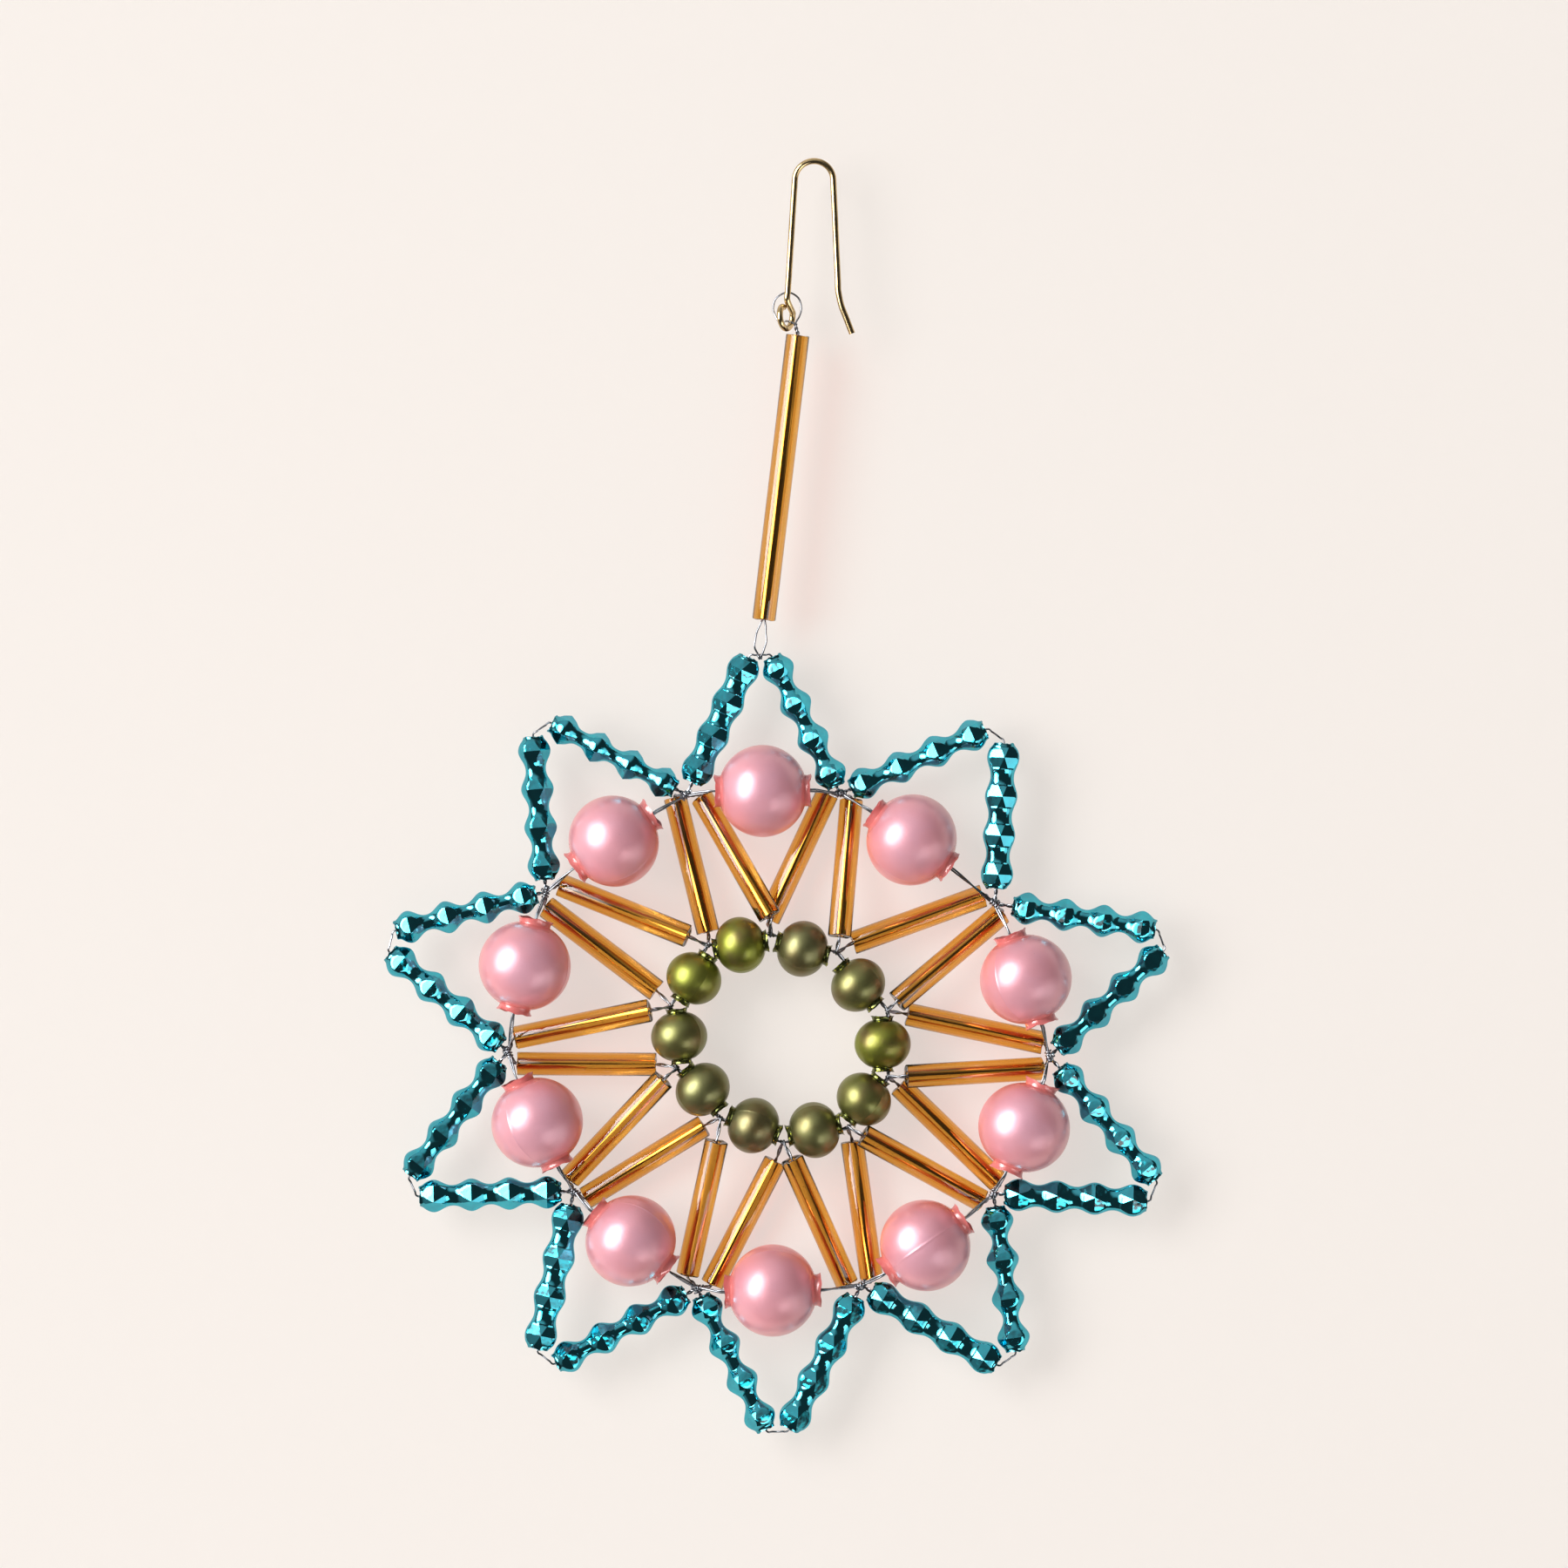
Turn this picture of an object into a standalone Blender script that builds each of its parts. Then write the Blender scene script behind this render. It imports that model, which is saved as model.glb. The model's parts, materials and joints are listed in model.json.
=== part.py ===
"""Glass-bead star ornament that hangs by a wire hook.

The star lies in the XZ plane and faces -Y. The origin is the underside of
the hook's bend, where the ornament rests on whatever holds it up.
Angles round the star run clockwise from its top point, as seen from -Y.
"""

import math

import bmesh
import bpy
from mathutils import Matrix, Vector

MM = 0.001

# The star: how many points it has, and the wires that thread it
STAR_POINTS = 10
STEEL_WIRE_DIAMETER = 0.25 * MM
WIRE_GAP = 0.11 * MM
WIRE_SIDES = 5

# Green beads of the inner ring
GREEN_DIAMETER = 7.2 * MM
GREEN_BODY_LENGTH = 6.7 * MM
GREEN_LENGTH = 6.8 * MM
GREEN_NECK_DIAMETER = 2.4 * MM
GREEN_BORE = 1.9 * MM
GREEN_WALL = 0.5 * MM
GREEN_SPACING_GAP = 1.8 * MM
GREEN_SIDES = 12

# Pink pearls of the outer ring
PEARL_DIAMETER = 11.9 * MM
PEARL_BODY_LENGTH = 11.4 * MM
PEARL_LENGTH = 12.7 * MM
PEARL_NECK_DIAMETER = 3.7 * MM
PEARL_BORE = 1.4 * MM
PEARL_WALL = 0.7 * MM
PEARL_LIFT = 1.1 * MM
PEARL_SIDES = 12

# Gold tubes: the spokes of the star, and the long one of the hanger
GOLD_TUBE_DIAMETER = 3.0 * MM
GOLD_TUBE_BORE = 1.1 * MM
SPOKE_LENGTH = 17.9 * MM
HANGER_TUBE_LENGTH = 36.7 * MM
SPOKE_SIDES = 8
HANGER_TUBE_SIDES = 12
TUBE_GAP = 0.2 * MM
SPOKE_OUTER_STANDOFF = 0.45 * MM
SPOKE_INNER_STANDOFF = 1.9 * MM
SPOKE_INNER_DEPTH = 0.5 * MM

# Teal rods: a row of lobes, each with a low pyramid in front and one behind, joined by necks that are flatter there
ROD_LOBES = 4
ROD_LOBE_DIAMETER = 4.05 * MM
ROD_WAIST_DIAMETER = 2.85 * MM
ROD_WAIST_DEPTH = 2.3 * MM
ROD_END_LENGTH = 1.9 * MM
ROD_END_DIAMETER = 2.3 * MM
ROD_BORE = 1.4 * MM
ROD_TIP_PLUG = 1.0 * MM
ROD_TIP_SPREAD = 2.95 * MM
ROD_TAIL_GAP = 0.5 * MM
ROD_SIDES = 12
PYRAMIDS = 2
PYRAMID_SLOPE = 0.58

# How far hand winding moved each knot from its regular place: outwards, and clockwise in degrees
OUTER_KNOT_SHIFTS_MM = (-0.8, -0.5, 1.4, 0.3, -0.6, -0.5, -1.4, 0.7, 1.5, 0.0)
OUTER_KNOT_TURNS = (-3.5, 3.8, 3.1, -1.0, -1.2, -0.2, -0.5, -2.1, -2.9, -1.9)
INNER_KNOT_SHIFTS_MM = (-0.2, -0.1, 0.9, 1.1, 0.4, -1.0, -1.8, -0.8, 0.3, 1.2)
INNER_KNOT_TURNS = (-2.8, -1.8, 2.3, -0.4, -3.9, -3.9, 0.2, 3.3, 0.7, 0.9)
SPOKE_SPREADS_MM = (-0.4, 1.8, 2.0, 1.5, 1.7, 1.8, 2.1, 1.8, 2.2, 2.3)
PEARL_SLIDES_MM = (-0.1, -1.3, 0.0, 0.1, 0.6, 0.8, 0.4, 0.1, 0.7, -0.1)

# The left and the right rod of each star point in turn, made by hand: pitch of the lobes, gap to the knot, turn
ROD_PITCHES_MM = (
    4.63, 4.95, 5.04, 4.97, 4.93, 4.94, 5.04, 4.86, 5.0, 4.99,
    5.08, 5.11, 5.06, 5.08, 4.81, 4.93, 4.93, 4.97, 4.89, 4.74,
)
ROD_STANDOFFS_MM = (
    1.65, 0.95, 1.4, 1.9, 2.2, 1.3, 1.92, 1.37, 1.6, 1.4,
    1.55, 1.05, 1.5, 1.7, 1.55, 1.65, 1.15, 1.2, 1.5, 1.55,
)
ROD_TURNS = (-4, 25, -37, 4, -25, 32, 27, -5, 28, 8, -10, 16, 12, 0, -22, -25, 26, -25, 24, -80)

# The hook: one piece of wire with an eye at its foot
HOOK_WIRE_DIAMETER = 0.8 * MM
HOOK_BEND_RADIUS = 2.45 * MM
HOOK_SHAFT_LENGTH = 16.3 * MM
HOOK_SHAFT_LEAN = 3.6
HOOK_LEG_LENGTH = 15.2 * MM
HOOK_LEG_LEAN = 2.6
HOOK_TIP_LENGTH = 4.8 * MM
HOOK_TIP_LEAN = 21.0
HOOK_EYE_RADIUS = 1.4 * MM
HOOK_EYE_TURN = 66.0
HOOK_EYE_OPEN = 44.0
HOOK_SIDES = 8

# The hanger wire: a ring through the hook's eye, a stem down the long tube, and an eye round the star's tip
RING_RISE = 3.25 * MM
RING_WIDTH = 3.5 * MM
RING_PASS_DEPTH = 0.45 * MM
RING_FOOT_OFFSET = (1.05 * MM, -0.8 * MM)
TWIST_DIAMETER = 0.7 * MM
TUBE_TOP_OFFSET = (1.4 * MM, -2.2 * MM)
TUBE_LEAN = 6.8
LENS_LENGTH = 4.6 * MM
LENS_LEAN = 6.0
LENS_WIDTH = 1.5 * MM

# Colours and finishes
MATERIALS = {
    "hook_wire": ((0.62, 0.42, 0.16), 0.28, 1.0),
    "steel_wire": ((0.17, 0.17, 0.19), 0.35, 1.0),
    "gold_glass": ((0.72, 0.36, 0.06), 0.12, 0.8),
    "teal_glass": ((0.01, 0.30, 0.36), 0.08, 0.9),
    "pink_pearl": ((0.80, 0.36, 0.42), 0.30, 0.3),
    "green_pearl": ((0.22, 0.23, 0.04), 0.30, 0.6),
}

# Places worked out from the sizes above
STEP_ANGLE = 360.0 / STAR_POINTS
HALF_STEP = STEP_ANGLE / 2
WIRE_RADIUS = STEEL_WIRE_DIAMETER / 2
WIRE_PASS = STEEL_WIRE_DIAMETER + WIRE_GAP
TUBE_RADIUS = GOLD_TUBE_DIAMETER / 2
SPOKE_OUTER_SPREAD = GOLD_TUBE_DIAMETER + TUBE_GAP
GREEN_DROP = GREEN_BORE / 2 - WIRE_RADIUS - WIRE_GAP
PEARL_DROP = PEARL_BORE / 2 - WIRE_RADIUS - WIRE_GAP
SPOKE_OUTER_DEPTH = PEARL_NECK_DIAMETER / 2 + TUBE_RADIUS + TUBE_GAP - PEARL_LIFT


def polar(radius, degrees, depth=0.0):
    """A point at this radius from the star's centre, clockwise from the top, and this far behind its plane."""
    angle = math.radians(degrees)
    return Vector((radius * math.sin(angle), depth, radius * math.cos(angle)))


def regular_outer_radius(inner_radius):
    """Radius of the outer knots at which a spoke of the given length just spans from one ring to the other."""
    side = SPOKE_OUTER_SPREAD / 2
    half = math.radians(HALF_STEP)
    across = sum(SPOKE_SPREADS_MM) / len(SPOKE_SPREADS_MM) * MM / 2
    up = inner_radius + SPOKE_INNER_STANDOFF
    along = across * math.sin(half) + up * math.cos(half)
    beside = side - (up * math.sin(half) - across * math.cos(half))
    return along + math.sqrt(SPOKE_LENGTH**2 - beside**2) + SPOKE_OUTER_STANDOFF


INNER_RADIUS = (GREEN_LENGTH + GREEN_SPACING_GAP) / (2 * math.sin(math.radians(HALF_STEP)))
OUTER_RADIUS = regular_outer_radius(INNER_RADIUS)


def knots(radius, start, shifts_mm, turns):
    return [
        polar(radius + shifts_mm[i % len(shifts_mm)] * MM, start + STEP_ANGLE * i + turns[i % len(turns)])
        for i in range(STAR_POINTS)
    ]


def hook_points():
    """Centre line of the hook from its eye's open end, up the shaft, over the bend and down to the tip."""
    bend_centre = Vector((0, 0, HOOK_WIRE_DIAMETER / 2 - HOOK_BEND_RADIUS))
    shaft_lean, leg_lean = math.radians(HOOK_SHAFT_LEAN), math.radians(HOOK_LEG_LEAN)
    shaft_down = Vector((-math.sin(shaft_lean), 0, -math.cos(shaft_lean)))
    leg_down = Vector((math.sin(leg_lean), 0, -math.cos(leg_lean)))
    tip_lean = math.radians(HOOK_TIP_LEAN)
    tip_down = Vector((math.sin(tip_lean), 0, -math.cos(tip_lean)))
    shaft_top = bend_centre + HOOK_BEND_RADIUS * Vector((-math.cos(shaft_lean), 0, math.sin(shaft_lean)))
    shaft_foot = shaft_top + HOOK_SHAFT_LENGTH * shaft_down
    leg_top = bend_centre + HOOK_BEND_RADIUS * Vector((math.cos(leg_lean), 0, math.sin(leg_lean)))
    knee = leg_top + HOOK_LEG_LENGTH * leg_down
    turn = math.radians(HOOK_EYE_TURN)
    across = Vector((math.cos(turn), math.sin(turn), 0))
    eye_centre = shaft_foot + Vector((0, 0, -HOOK_EYE_RADIUS))
    eye = []
    steps = 16
    for i in range(steps + 1):
        angle = math.radians(90 + HOOK_EYE_OPEN + (360 - HOOK_EYE_OPEN) * i / steps)
        eye.append(eye_centre + HOOK_EYE_RADIUS * (math.cos(angle) * across + math.sin(angle) * Vector((0, 0, 1))))
    bend = []
    steps = 12
    first, last = math.pi - shaft_lean, leg_lean
    for i in range(steps + 1):
        angle = first + (last - first) * i / steps
        bend.append(bend_centre + HOOK_BEND_RADIUS * Vector((math.cos(angle), 0, math.sin(angle))))
    foot = rounded_corner(eye[-2], eye[-1], shaft_top, HOOK_WIRE_DIAMETER / 2)
    corner = rounded_corner(leg_top, knee, knee + HOOK_TIP_LENGTH * tip_down, HOOK_WIRE_DIAMETER)
    return eye[:-1] + foot + bend + corner + [knee + HOOK_TIP_LENGTH * tip_down], eye_centre


def rounded_corner(before, corner, after, cut):
    """Three points that round a corner off, starting and ending the given cut away from it."""
    first = corner + (before - corner).normalized() * cut
    last = corner + (after - corner).normalized() * cut
    return [first, (first + last + 2 * corner) / 4, last]


def frames_along(points, closed):
    """A side vector square to the path at each point, carried along without twist."""
    count = len(points)
    tangents = []
    for i in range(count):
        before = points[i - 1] if closed or i else points[0]
        after = points[(i + 1) % count] if closed or i < count - 1 else points[-1]
        tangents.append((after - before).normalized())
    start = Vector((0, 1, 0)) if abs(tangents[0].y) < 0.9 else Vector((1, 0, 0))
    sides = [(start - start.dot(tangents[0]) * tangents[0]).normalized()]
    for i in range(1, count):
        turn = tangents[i - 1].rotation_difference(tangents[i])
        side = turn @ sides[-1]
        sides.append((side - side.dot(tangents[i]) * tangents[i]).normalized())
    return tangents, sides


def swept_tube(points, radius, side_count, closed=False):
    """Vertices and faces of a round wire along the points, mitred so that it keeps its thickness in a bend."""
    tangents, sides = frames_along(points, closed)
    vertices, faces = [], []
    for point, tangent, side in zip(points, tangents, sides):
        other = tangent.cross(side)
        for k in range(side_count):
            angle = 2 * math.pi * k / side_count
            vertices.append(point + radius * (math.cos(angle) * side + math.sin(angle) * other))
    count = len(points)
    shift = 0
    if closed:
        last = tangents[-1].rotation_difference(tangents[0]) @ sides[-1]
        twist = math.atan2(last.dot(tangents[0].cross(sides[0])), last.dot(sides[0]))
        shift = round(twist / (2 * math.pi) * side_count)
    for i in range(count if closed else count - 1):
        wrap = shift if i == count - 1 else 0
        a, b = i * side_count, ((i + 1) % count) * side_count
        for k in range(side_count):
            n = (k + 1) % side_count
            faces.append((a + k, a + n, b + (n + wrap) % side_count, b + (k + wrap) % side_count))
    if not closed:
        faces.append(tuple(reversed(range(side_count))))
        faces.append(tuple(range((count - 1) * side_count, count * side_count)))
    return vertices, faces


def turned_ring(profile, side_count):
    """Vertices and faces of a closed profile of (radius, height) pairs turned about Z."""
    vertices, faces = [], []
    count = len(profile)
    for radius, height in profile:
        for k in range(side_count):
            angle = 2 * math.pi * k / side_count
            vertices.append(Vector((radius * math.cos(angle), radius * math.sin(angle), height)))
    for i in range(count):
        a, b = i * side_count, ((i + 1) % count) * side_count
        for k in range(side_count):
            n = (k + 1) % side_count
            faces.append((a + k, a + n, b + n, b + k))
    return vertices, faces


def bead_profile(diameter, body_length, length, neck_diameter, bore_diameter, wall, arcs):
    """Closed outline of a blown bead, from its lower rim up the outside and back down the inside."""
    radius, half_body, half = diameter / 2, body_length / 2, length / 2
    neck, bore = neck_diameter / 2, bore_diameter / 2
    start = math.asin(min(1.0, neck / radius))
    outside = [(neck, -half)]
    for i in range(arcs + 1):
        angle = start + (math.pi - 2 * start) * i / arcs
        outside.append((radius * math.sin(angle), -half_body * math.cos(angle)))
    outside.append((neck, half))
    inner = half_body * math.cos(start) - wall
    shoulder, belly = inner * 0.45, (radius - wall) * 0.88
    inside = [(bore, half), (bore, inner), (belly, shoulder)]
    inside += [(belly, -shoulder), (bore, -inner), (bore, -half)]
    return outside + inside


def tube_profile(diameter, bore, length):
    outer, inner, half = diameter / 2, bore / 2, length / 2
    return [(outer, -half), (outer, half), (inner, half), (inner, -half)]


def lobe_radius(along, around, pitch):
    """Radius of a lobe at a distance from its middle, round its axis: a swelling cut by low six-sided pyramids."""
    facing = math.cos(math.radians(around)) ** 2
    waist = (ROD_WAIST_DIAMETER + (ROD_WAIST_DEPTH - ROD_WAIST_DIAMETER) * facing) / 2
    lobe = ROD_LOBE_DIAMETER / 2
    radius = waist + (lobe - waist) * math.cos(math.pi * along / pitch) ** 2
    for i in range(PYRAMIDS):
        turn = math.radians(around - 360 * i / PYRAMIDS)
        for facet in range(6):
            facing = math.radians(30 + 60 * facet)
            toward = math.cos(turn) + PYRAMID_SLOPE * math.cos(facing) * math.sin(turn)
            if toward > 0.5:
                radius = min(radius, (lobe - PYRAMID_SLOPE * math.sin(facing) * along) / toward)
    return max(radius, waist)


def rod_length(pitch):
    return (ROD_LOBES - 1) * pitch + 2 * ROD_END_LENGTH


def rod_ring(radii, turn, height):
    """A ring of points at this height. At a turn of nought a pyramid faces the front of the star."""
    ring = []
    for k, radius in enumerate(radii):
        angle = math.radians(turn - 90 + 360 * k / ROD_SIDES)
        ring.append(Vector((radius * math.cos(angle), radius * math.sin(angle), height)))
    return ring


def rod_shape(pitch, turn):
    """Vertices and faces of a rod along Z: a bore from its valley end to the plug at its tip."""
    length = rod_length(pitch)
    end, bore = [ROD_END_DIAMETER / 2] * ROD_SIDES, [ROD_BORE / 2] * ROD_SIDES
    rings = [rod_ring(end, turn, 0.0)]
    for lobe in range(ROD_LOBES):
        middle = ROD_END_LENGTH + lobe * pitch
        for step in (-0.5, -0.25, 0, 0.25):
            if lobe == 0 and step == -0.5:
                continue
            around = [360 * k / ROD_SIDES for k in range(ROD_SIDES)]
            radii = [lobe_radius(step * pitch, angle, pitch) for angle in around]
            rings.append(rod_ring(radii, turn, middle + step * pitch))
    rings.append(rod_ring(end, turn, length))
    rings.append(rod_ring(bore, turn, length - ROD_TIP_PLUG))
    rings.append(rod_ring(bore, turn, 0.0))
    vertices = [v for ring in rings for v in ring]
    faces = []
    count = len(rings)
    tip, floor = count - 3, count - 2
    for low in range(count):
        high = (low + 1) % count
        if low == tip:
            continue
        for k in range(ROD_SIDES):
            n = (k + 1) % ROD_SIDES
            faces.append((low * ROD_SIDES + k, low * ROD_SIDES + n, high * ROD_SIDES + n, high * ROD_SIDES + k))
    faces.append(tuple(range(tip * ROD_SIDES, (tip + 1) * ROD_SIDES)))
    faces.append(tuple(reversed(range(floor * ROD_SIDES, (floor + 1) * ROD_SIDES))))
    return vertices, faces


def along_axis(start, direction):
    """Matrix that carries a shape built up the Z axis to a start point and a direction."""
    turn = Vector((0, 0, 1)).rotation_difference(direction)
    return Matrix.Translation(start) @ turn.to_matrix().to_4x4()


def make_materials():
    made = {}
    for name, (colour, roughness, metallic) in MATERIALS.items():
        material = bpy.data.materials.new(name)
        material.use_nodes = True
        shader = material.node_tree.nodes["Principled BSDF"]
        shader.inputs["Base Color"].default_value = (*colour, 1)
        shader.inputs["Roughness"].default_value = roughness
        shader.inputs["Metallic"].default_value = metallic
        made[name] = material
    return made


def make_mesh(name, shape, material):
    """A mesh from vertices and faces, shaded smooth but for its sharp edges."""
    vertices, faces = shape
    mesh = bpy.data.meshes.new(name)
    mesh.from_pydata(vertices, [], faces)
    work = bmesh.new()
    work.from_mesh(mesh)
    bmesh.ops.recalc_face_normals(work, faces=work.faces)
    work.to_mesh(mesh)
    work.free()
    mesh.shade_smooth()
    mesh.set_sharp_from_angle(angle=math.radians(40))
    mesh.materials.append(material)
    return mesh


def add_object(name, mesh, parent=None, location=None, direction=None):
    """An object on the scene, placed in world terms under a parent that isn't turned."""
    thing = bpy.data.objects.new(name, mesh)
    bpy.context.scene.collection.objects.link(thing)
    place = location or Vector((0, 0, 0))
    if direction is not None:
        thing.rotation_mode = "QUATERNION"
        thing.rotation_quaternion = Vector((0, 0, 1)).rotation_difference(direction)
    if parent is not None:
        thing.parent = parent
        place = place - world_place(parent)
    thing.location = place
    return thing


def world_place(thing):
    place = thing.location.copy()
    while thing.parent is not None:
        thing = thing.parent
        place += thing.location
    return place


def add_pivot(name, location, parent=None):
    """An empty on a joint's axis, which carries what turns there."""
    pivot = add_object(name, None, parent, location)
    pivot.empty_display_size = 5 * MM
    return pivot


def add_union(thing, shape, name, material):
    """Joins a second shape to an object with a Boolean, through a hidden helper."""
    helper = add_object(name, make_mesh(name, shape, material))
    helper.hide_render = True
    helper.display_type = "WIRE"
    union = thing.modifiers.new("join_" + name, "BOOLEAN")
    union.operation = "UNION"
    union.solver = "EXACT"
    union.object = helper


class Spoke:
    """Where one gold tube of the star lies, and how its wire leaves it."""

    def __init__(self, outer_knot, inner_knot, centre, side, spread, depth):
        outer_out = (outer_knot - centre).normalized()
        inner_out = (inner_knot - centre).normalized()
        outer_across = Vector((outer_out.z, 0, -outer_out.x)) * -side
        inner_across = Vector((inner_out.z, 0, -inner_out.x)) * side
        outer_aim = outer_knot - outer_out * SPOKE_OUTER_STANDOFF + outer_across * SPOKE_OUTER_SPREAD / 2
        outer_aim.y = SPOKE_OUTER_DEPTH
        inner_aim = inner_knot + inner_out * SPOKE_INNER_STANDOFF + inner_across * spread / 2
        inner_aim.y = depth
        self.direction = (inner_aim - outer_aim).normalized()
        self.middle = (outer_aim + inner_aim) / 2
        self.outer = self.middle - self.direction * SPOKE_LENGTH / 2
        self.inner = self.middle + self.direction * SPOKE_LENGTH / 2


def star_spokes(outer_knots, inner_knots, centre):
    """The two spokes that meet at each inner knot: the first passes in front, the second behind."""
    spokes = []
    for i, inner in enumerate(inner_knots):
        spread = SPOKE_SPREADS_MM[i % len(SPOKE_SPREADS_MM)] * MM
        apart = GOLD_TUBE_DIAMETER + TUBE_GAP
        lift = math.sqrt(max(0.0, apart**2 - spread**2)) / 2
        spokes.append(Spoke(outer_knots[i - 1], inner, centre, -1, spread, SPOKE_INNER_DEPTH - lift))
        spokes.append(Spoke(outer_knots[i], inner, centre, 1, spread, SPOKE_INNER_DEPTH + lift))
    return spokes


def spoke_wire_points(spokes, outer_knots, inner_knots, centre):
    """Closed path of the wire that zigzags through the spokes, round each inner knot and behind each outer one."""
    clear, around = WIRE_RADIUS + 2 * WIRE_GAP, 1.5 * WIRE_PASS
    points = []
    for i in range(STAR_POINTS):
        front, back = spokes[2 * i], spokes[2 * i + 1]
        inner, outer = inner_knots[i], outer_knots[i]
        following = spokes[(2 * i + 2) % len(spokes)]
        inward, outward = (centre - inner).normalized(), (outer - centre).normalized()
        points.append(front.inner + front.direction * clear)
        points.append(inner + Vector((0, -around, 0)))
        points.append(inner + inward * around)
        points.append(inner + Vector((0, around, 0)))
        points.append(back.inner + back.direction * clear)
        points.append(back.outer - back.direction * clear)
        points.append(outer + outward * WIRE_PASS + Vector((0, around, 0)))
        points.append(following.outer - following.direction * clear)
    return points


class StarPoint:
    """One point of the star: two rods from neighbouring outer knots that meet at the tip."""

    def __init__(self, left_knot, right_knot, left_pitch, right_pitch, left_standoff, right_standoff):
        chord = right_knot - left_knot
        across = chord.normalized()
        outward = Vector((-across.z, 0, across.x))
        left_reach = left_standoff + rod_length(left_pitch)
        right_reach = right_standoff + rod_length(right_pitch)
        base = chord.length - ROD_TIP_SPREAD
        along = (base**2 + left_reach**2 - right_reach**2) / (2 * base)
        left_tip = left_knot + across * along + outward * math.sqrt(left_reach**2 - along**2)
        self.tip = left_tip + across * ROD_TIP_SPREAD / 2
        self.left = Rod(left_knot, left_tip, left_pitch, left_standoff)
        self.right = Rod(right_knot, left_tip + across * ROD_TIP_SPREAD, right_pitch, right_standoff)

    def wire_points(self):
        """The wire through both rods, from tail to tail, with its bend at the tip."""
        rise = WIRE_RADIUS + WIRE_GAP
        left_bend = self.left.tip + self.left.direction * rise
        right_bend = self.right.tip + self.right.direction * rise
        return [self.left.tail, left_bend, self.tip, right_bend, self.right.tail]


class Rod:
    """Where one teal rod starts, ends and points, and where the tail of its wire ends near the knot."""

    def __init__(self, knot, tip, pitch, standoff):
        self.tip = tip
        self.direction = (tip - knot).normalized()
        self.pitch = pitch
        self.foot = knot + self.direction * standoff
        self.tail = knot + self.direction * ROD_TAIL_GAP


def star_points(outer_knots):
    points = []
    for i in range(STAR_POINTS):
        left, right = 2 * i % len(ROD_PITCHES_MM), (2 * i + 1) % len(ROD_PITCHES_MM)
        pitches = (ROD_PITCHES_MM[left] * MM, ROD_PITCHES_MM[right] * MM)
        standoffs = (ROD_STANDOFFS_MM[left] * MM, ROD_STANDOFFS_MM[right] * MM)
        points.append(StarPoint(outer_knots[i - 1], outer_knots[i], *pitches, *standoffs))
    return points


def add_star_point(number, point, turns, materials, parent):
    """A node of two rods on their wire, joined where the wire is bonded in the tip of each rod."""
    glass, steel = materials["teal_glass"], materials["steel_wire"]
    name = f"star_point_{number:02d}"
    shapes = []
    for rod, turn in zip((point.left, point.right), turns):
        vertices, faces = rod_shape(rod.pitch, turn)
        place = along_axis(rod.foot, rod.direction)
        shapes.append(([place @ v for v in vertices], faces))
    node = add_object(name, make_mesh(name, shapes[0], glass))
    add_union(node, shapes[1], name + "_right_rod", glass)
    wire = swept_tube(point.wire_points(), WIRE_RADIUS, WIRE_SIDES)
    add_union(node, wire, name + "_wire", steel)
    node.parent = parent
    node.location = -world_place(parent)


def ring_points(eye_centre):
    """Closed path of the ring: behind the hook's shaft, through its eye, and back to the twist."""
    behind = HOOK_WIRE_DIAMETER / 2 + WIRE_RADIUS + 1.2 * WIRE_GAP
    half, rise = RING_WIDTH / 2, RING_RISE
    foot_x, foot_z = RING_FOOT_OFFSET
    hole = -RING_PASS_DEPTH
    route = [
        (foot_x, 0.0, foot_z),
        (0.55 * foot_x, -0.35 * behind, 0.5 * (foot_z + hole)),
        (0.0, 0.0, hole),
        (-0.55 * half, 0.55 * behind, 1.1 * hole),
        (-0.85 * half, 0.9 * behind, 0.1 * rise),
        (-half, behind, 0.4 * rise),
        (-0.75 * half, behind, 0.78 * rise),
        (0.05 * half, behind, rise),
        (0.8 * half, behind, 0.8 * rise),
        (1.05 * half, 0.9 * behind, 0.42 * rise),
        (0.95 * half, 0.5 * behind, 0.1 * rise),
    ]
    return [eye_centre + Vector(p) for p in route], eye_centre + Vector(route[0])


def leaning_down(degrees):
    lean = math.radians(degrees)
    return Vector((-math.sin(lean), 0, -math.cos(lean)))


def hanger_layout(eye_centre):
    """Where the long tube starts and ends, its direction, and the wire of the tip on which the star hangs."""
    down = leaning_down(TUBE_LEAN)
    top = eye_centre + Vector((TUBE_TOP_OFFSET[0], 0, TUBE_TOP_OFFSET[1]))
    mouth = top + down * HANGER_TUBE_LENGTH
    return top, mouth, down, mouth + leaning_down(LENS_LEAN) * LENS_LENGTH


def lens_points(mouth, link):
    """Closed path of the eye below the tube: in front of the tip's wire on one side, under it, and up behind it."""
    down = (link - mouth).normalized()
    side = Vector((-down.z, 0, down.x)) * LENS_WIDTH / 2
    front = Vector((0, -WIRE_PASS, 0))
    top = mouth + leaning_down(20.0) * 0.12 * LENS_LENGTH
    return [
        top,
        top + down * 0.3 * LENS_LENGTH - 1.1 * side,
        top + down * 0.48 * LENS_LENGTH - 1.2 * side + 0.2 * front,
        top + down * 0.68 * LENS_LENGTH - side + 0.6 * front,
        link - 0.1 * side + 1.45 * front - down * 0.2 * WIRE_PASS,
        link + down * 1.15 * WIRE_PASS,
        link + 0.1 * side - 1.45 * front - down * 0.2 * WIRE_PASS,
        top + down * 0.68 * LENS_LENGTH + 0.65 * side - 0.6 * front,
        top + down * 0.48 * LENS_LENGTH + 0.8 * side - 0.2 * front,
        top + down * 0.3 * LENS_LENGTH + 0.7 * side,
    ]


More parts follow.
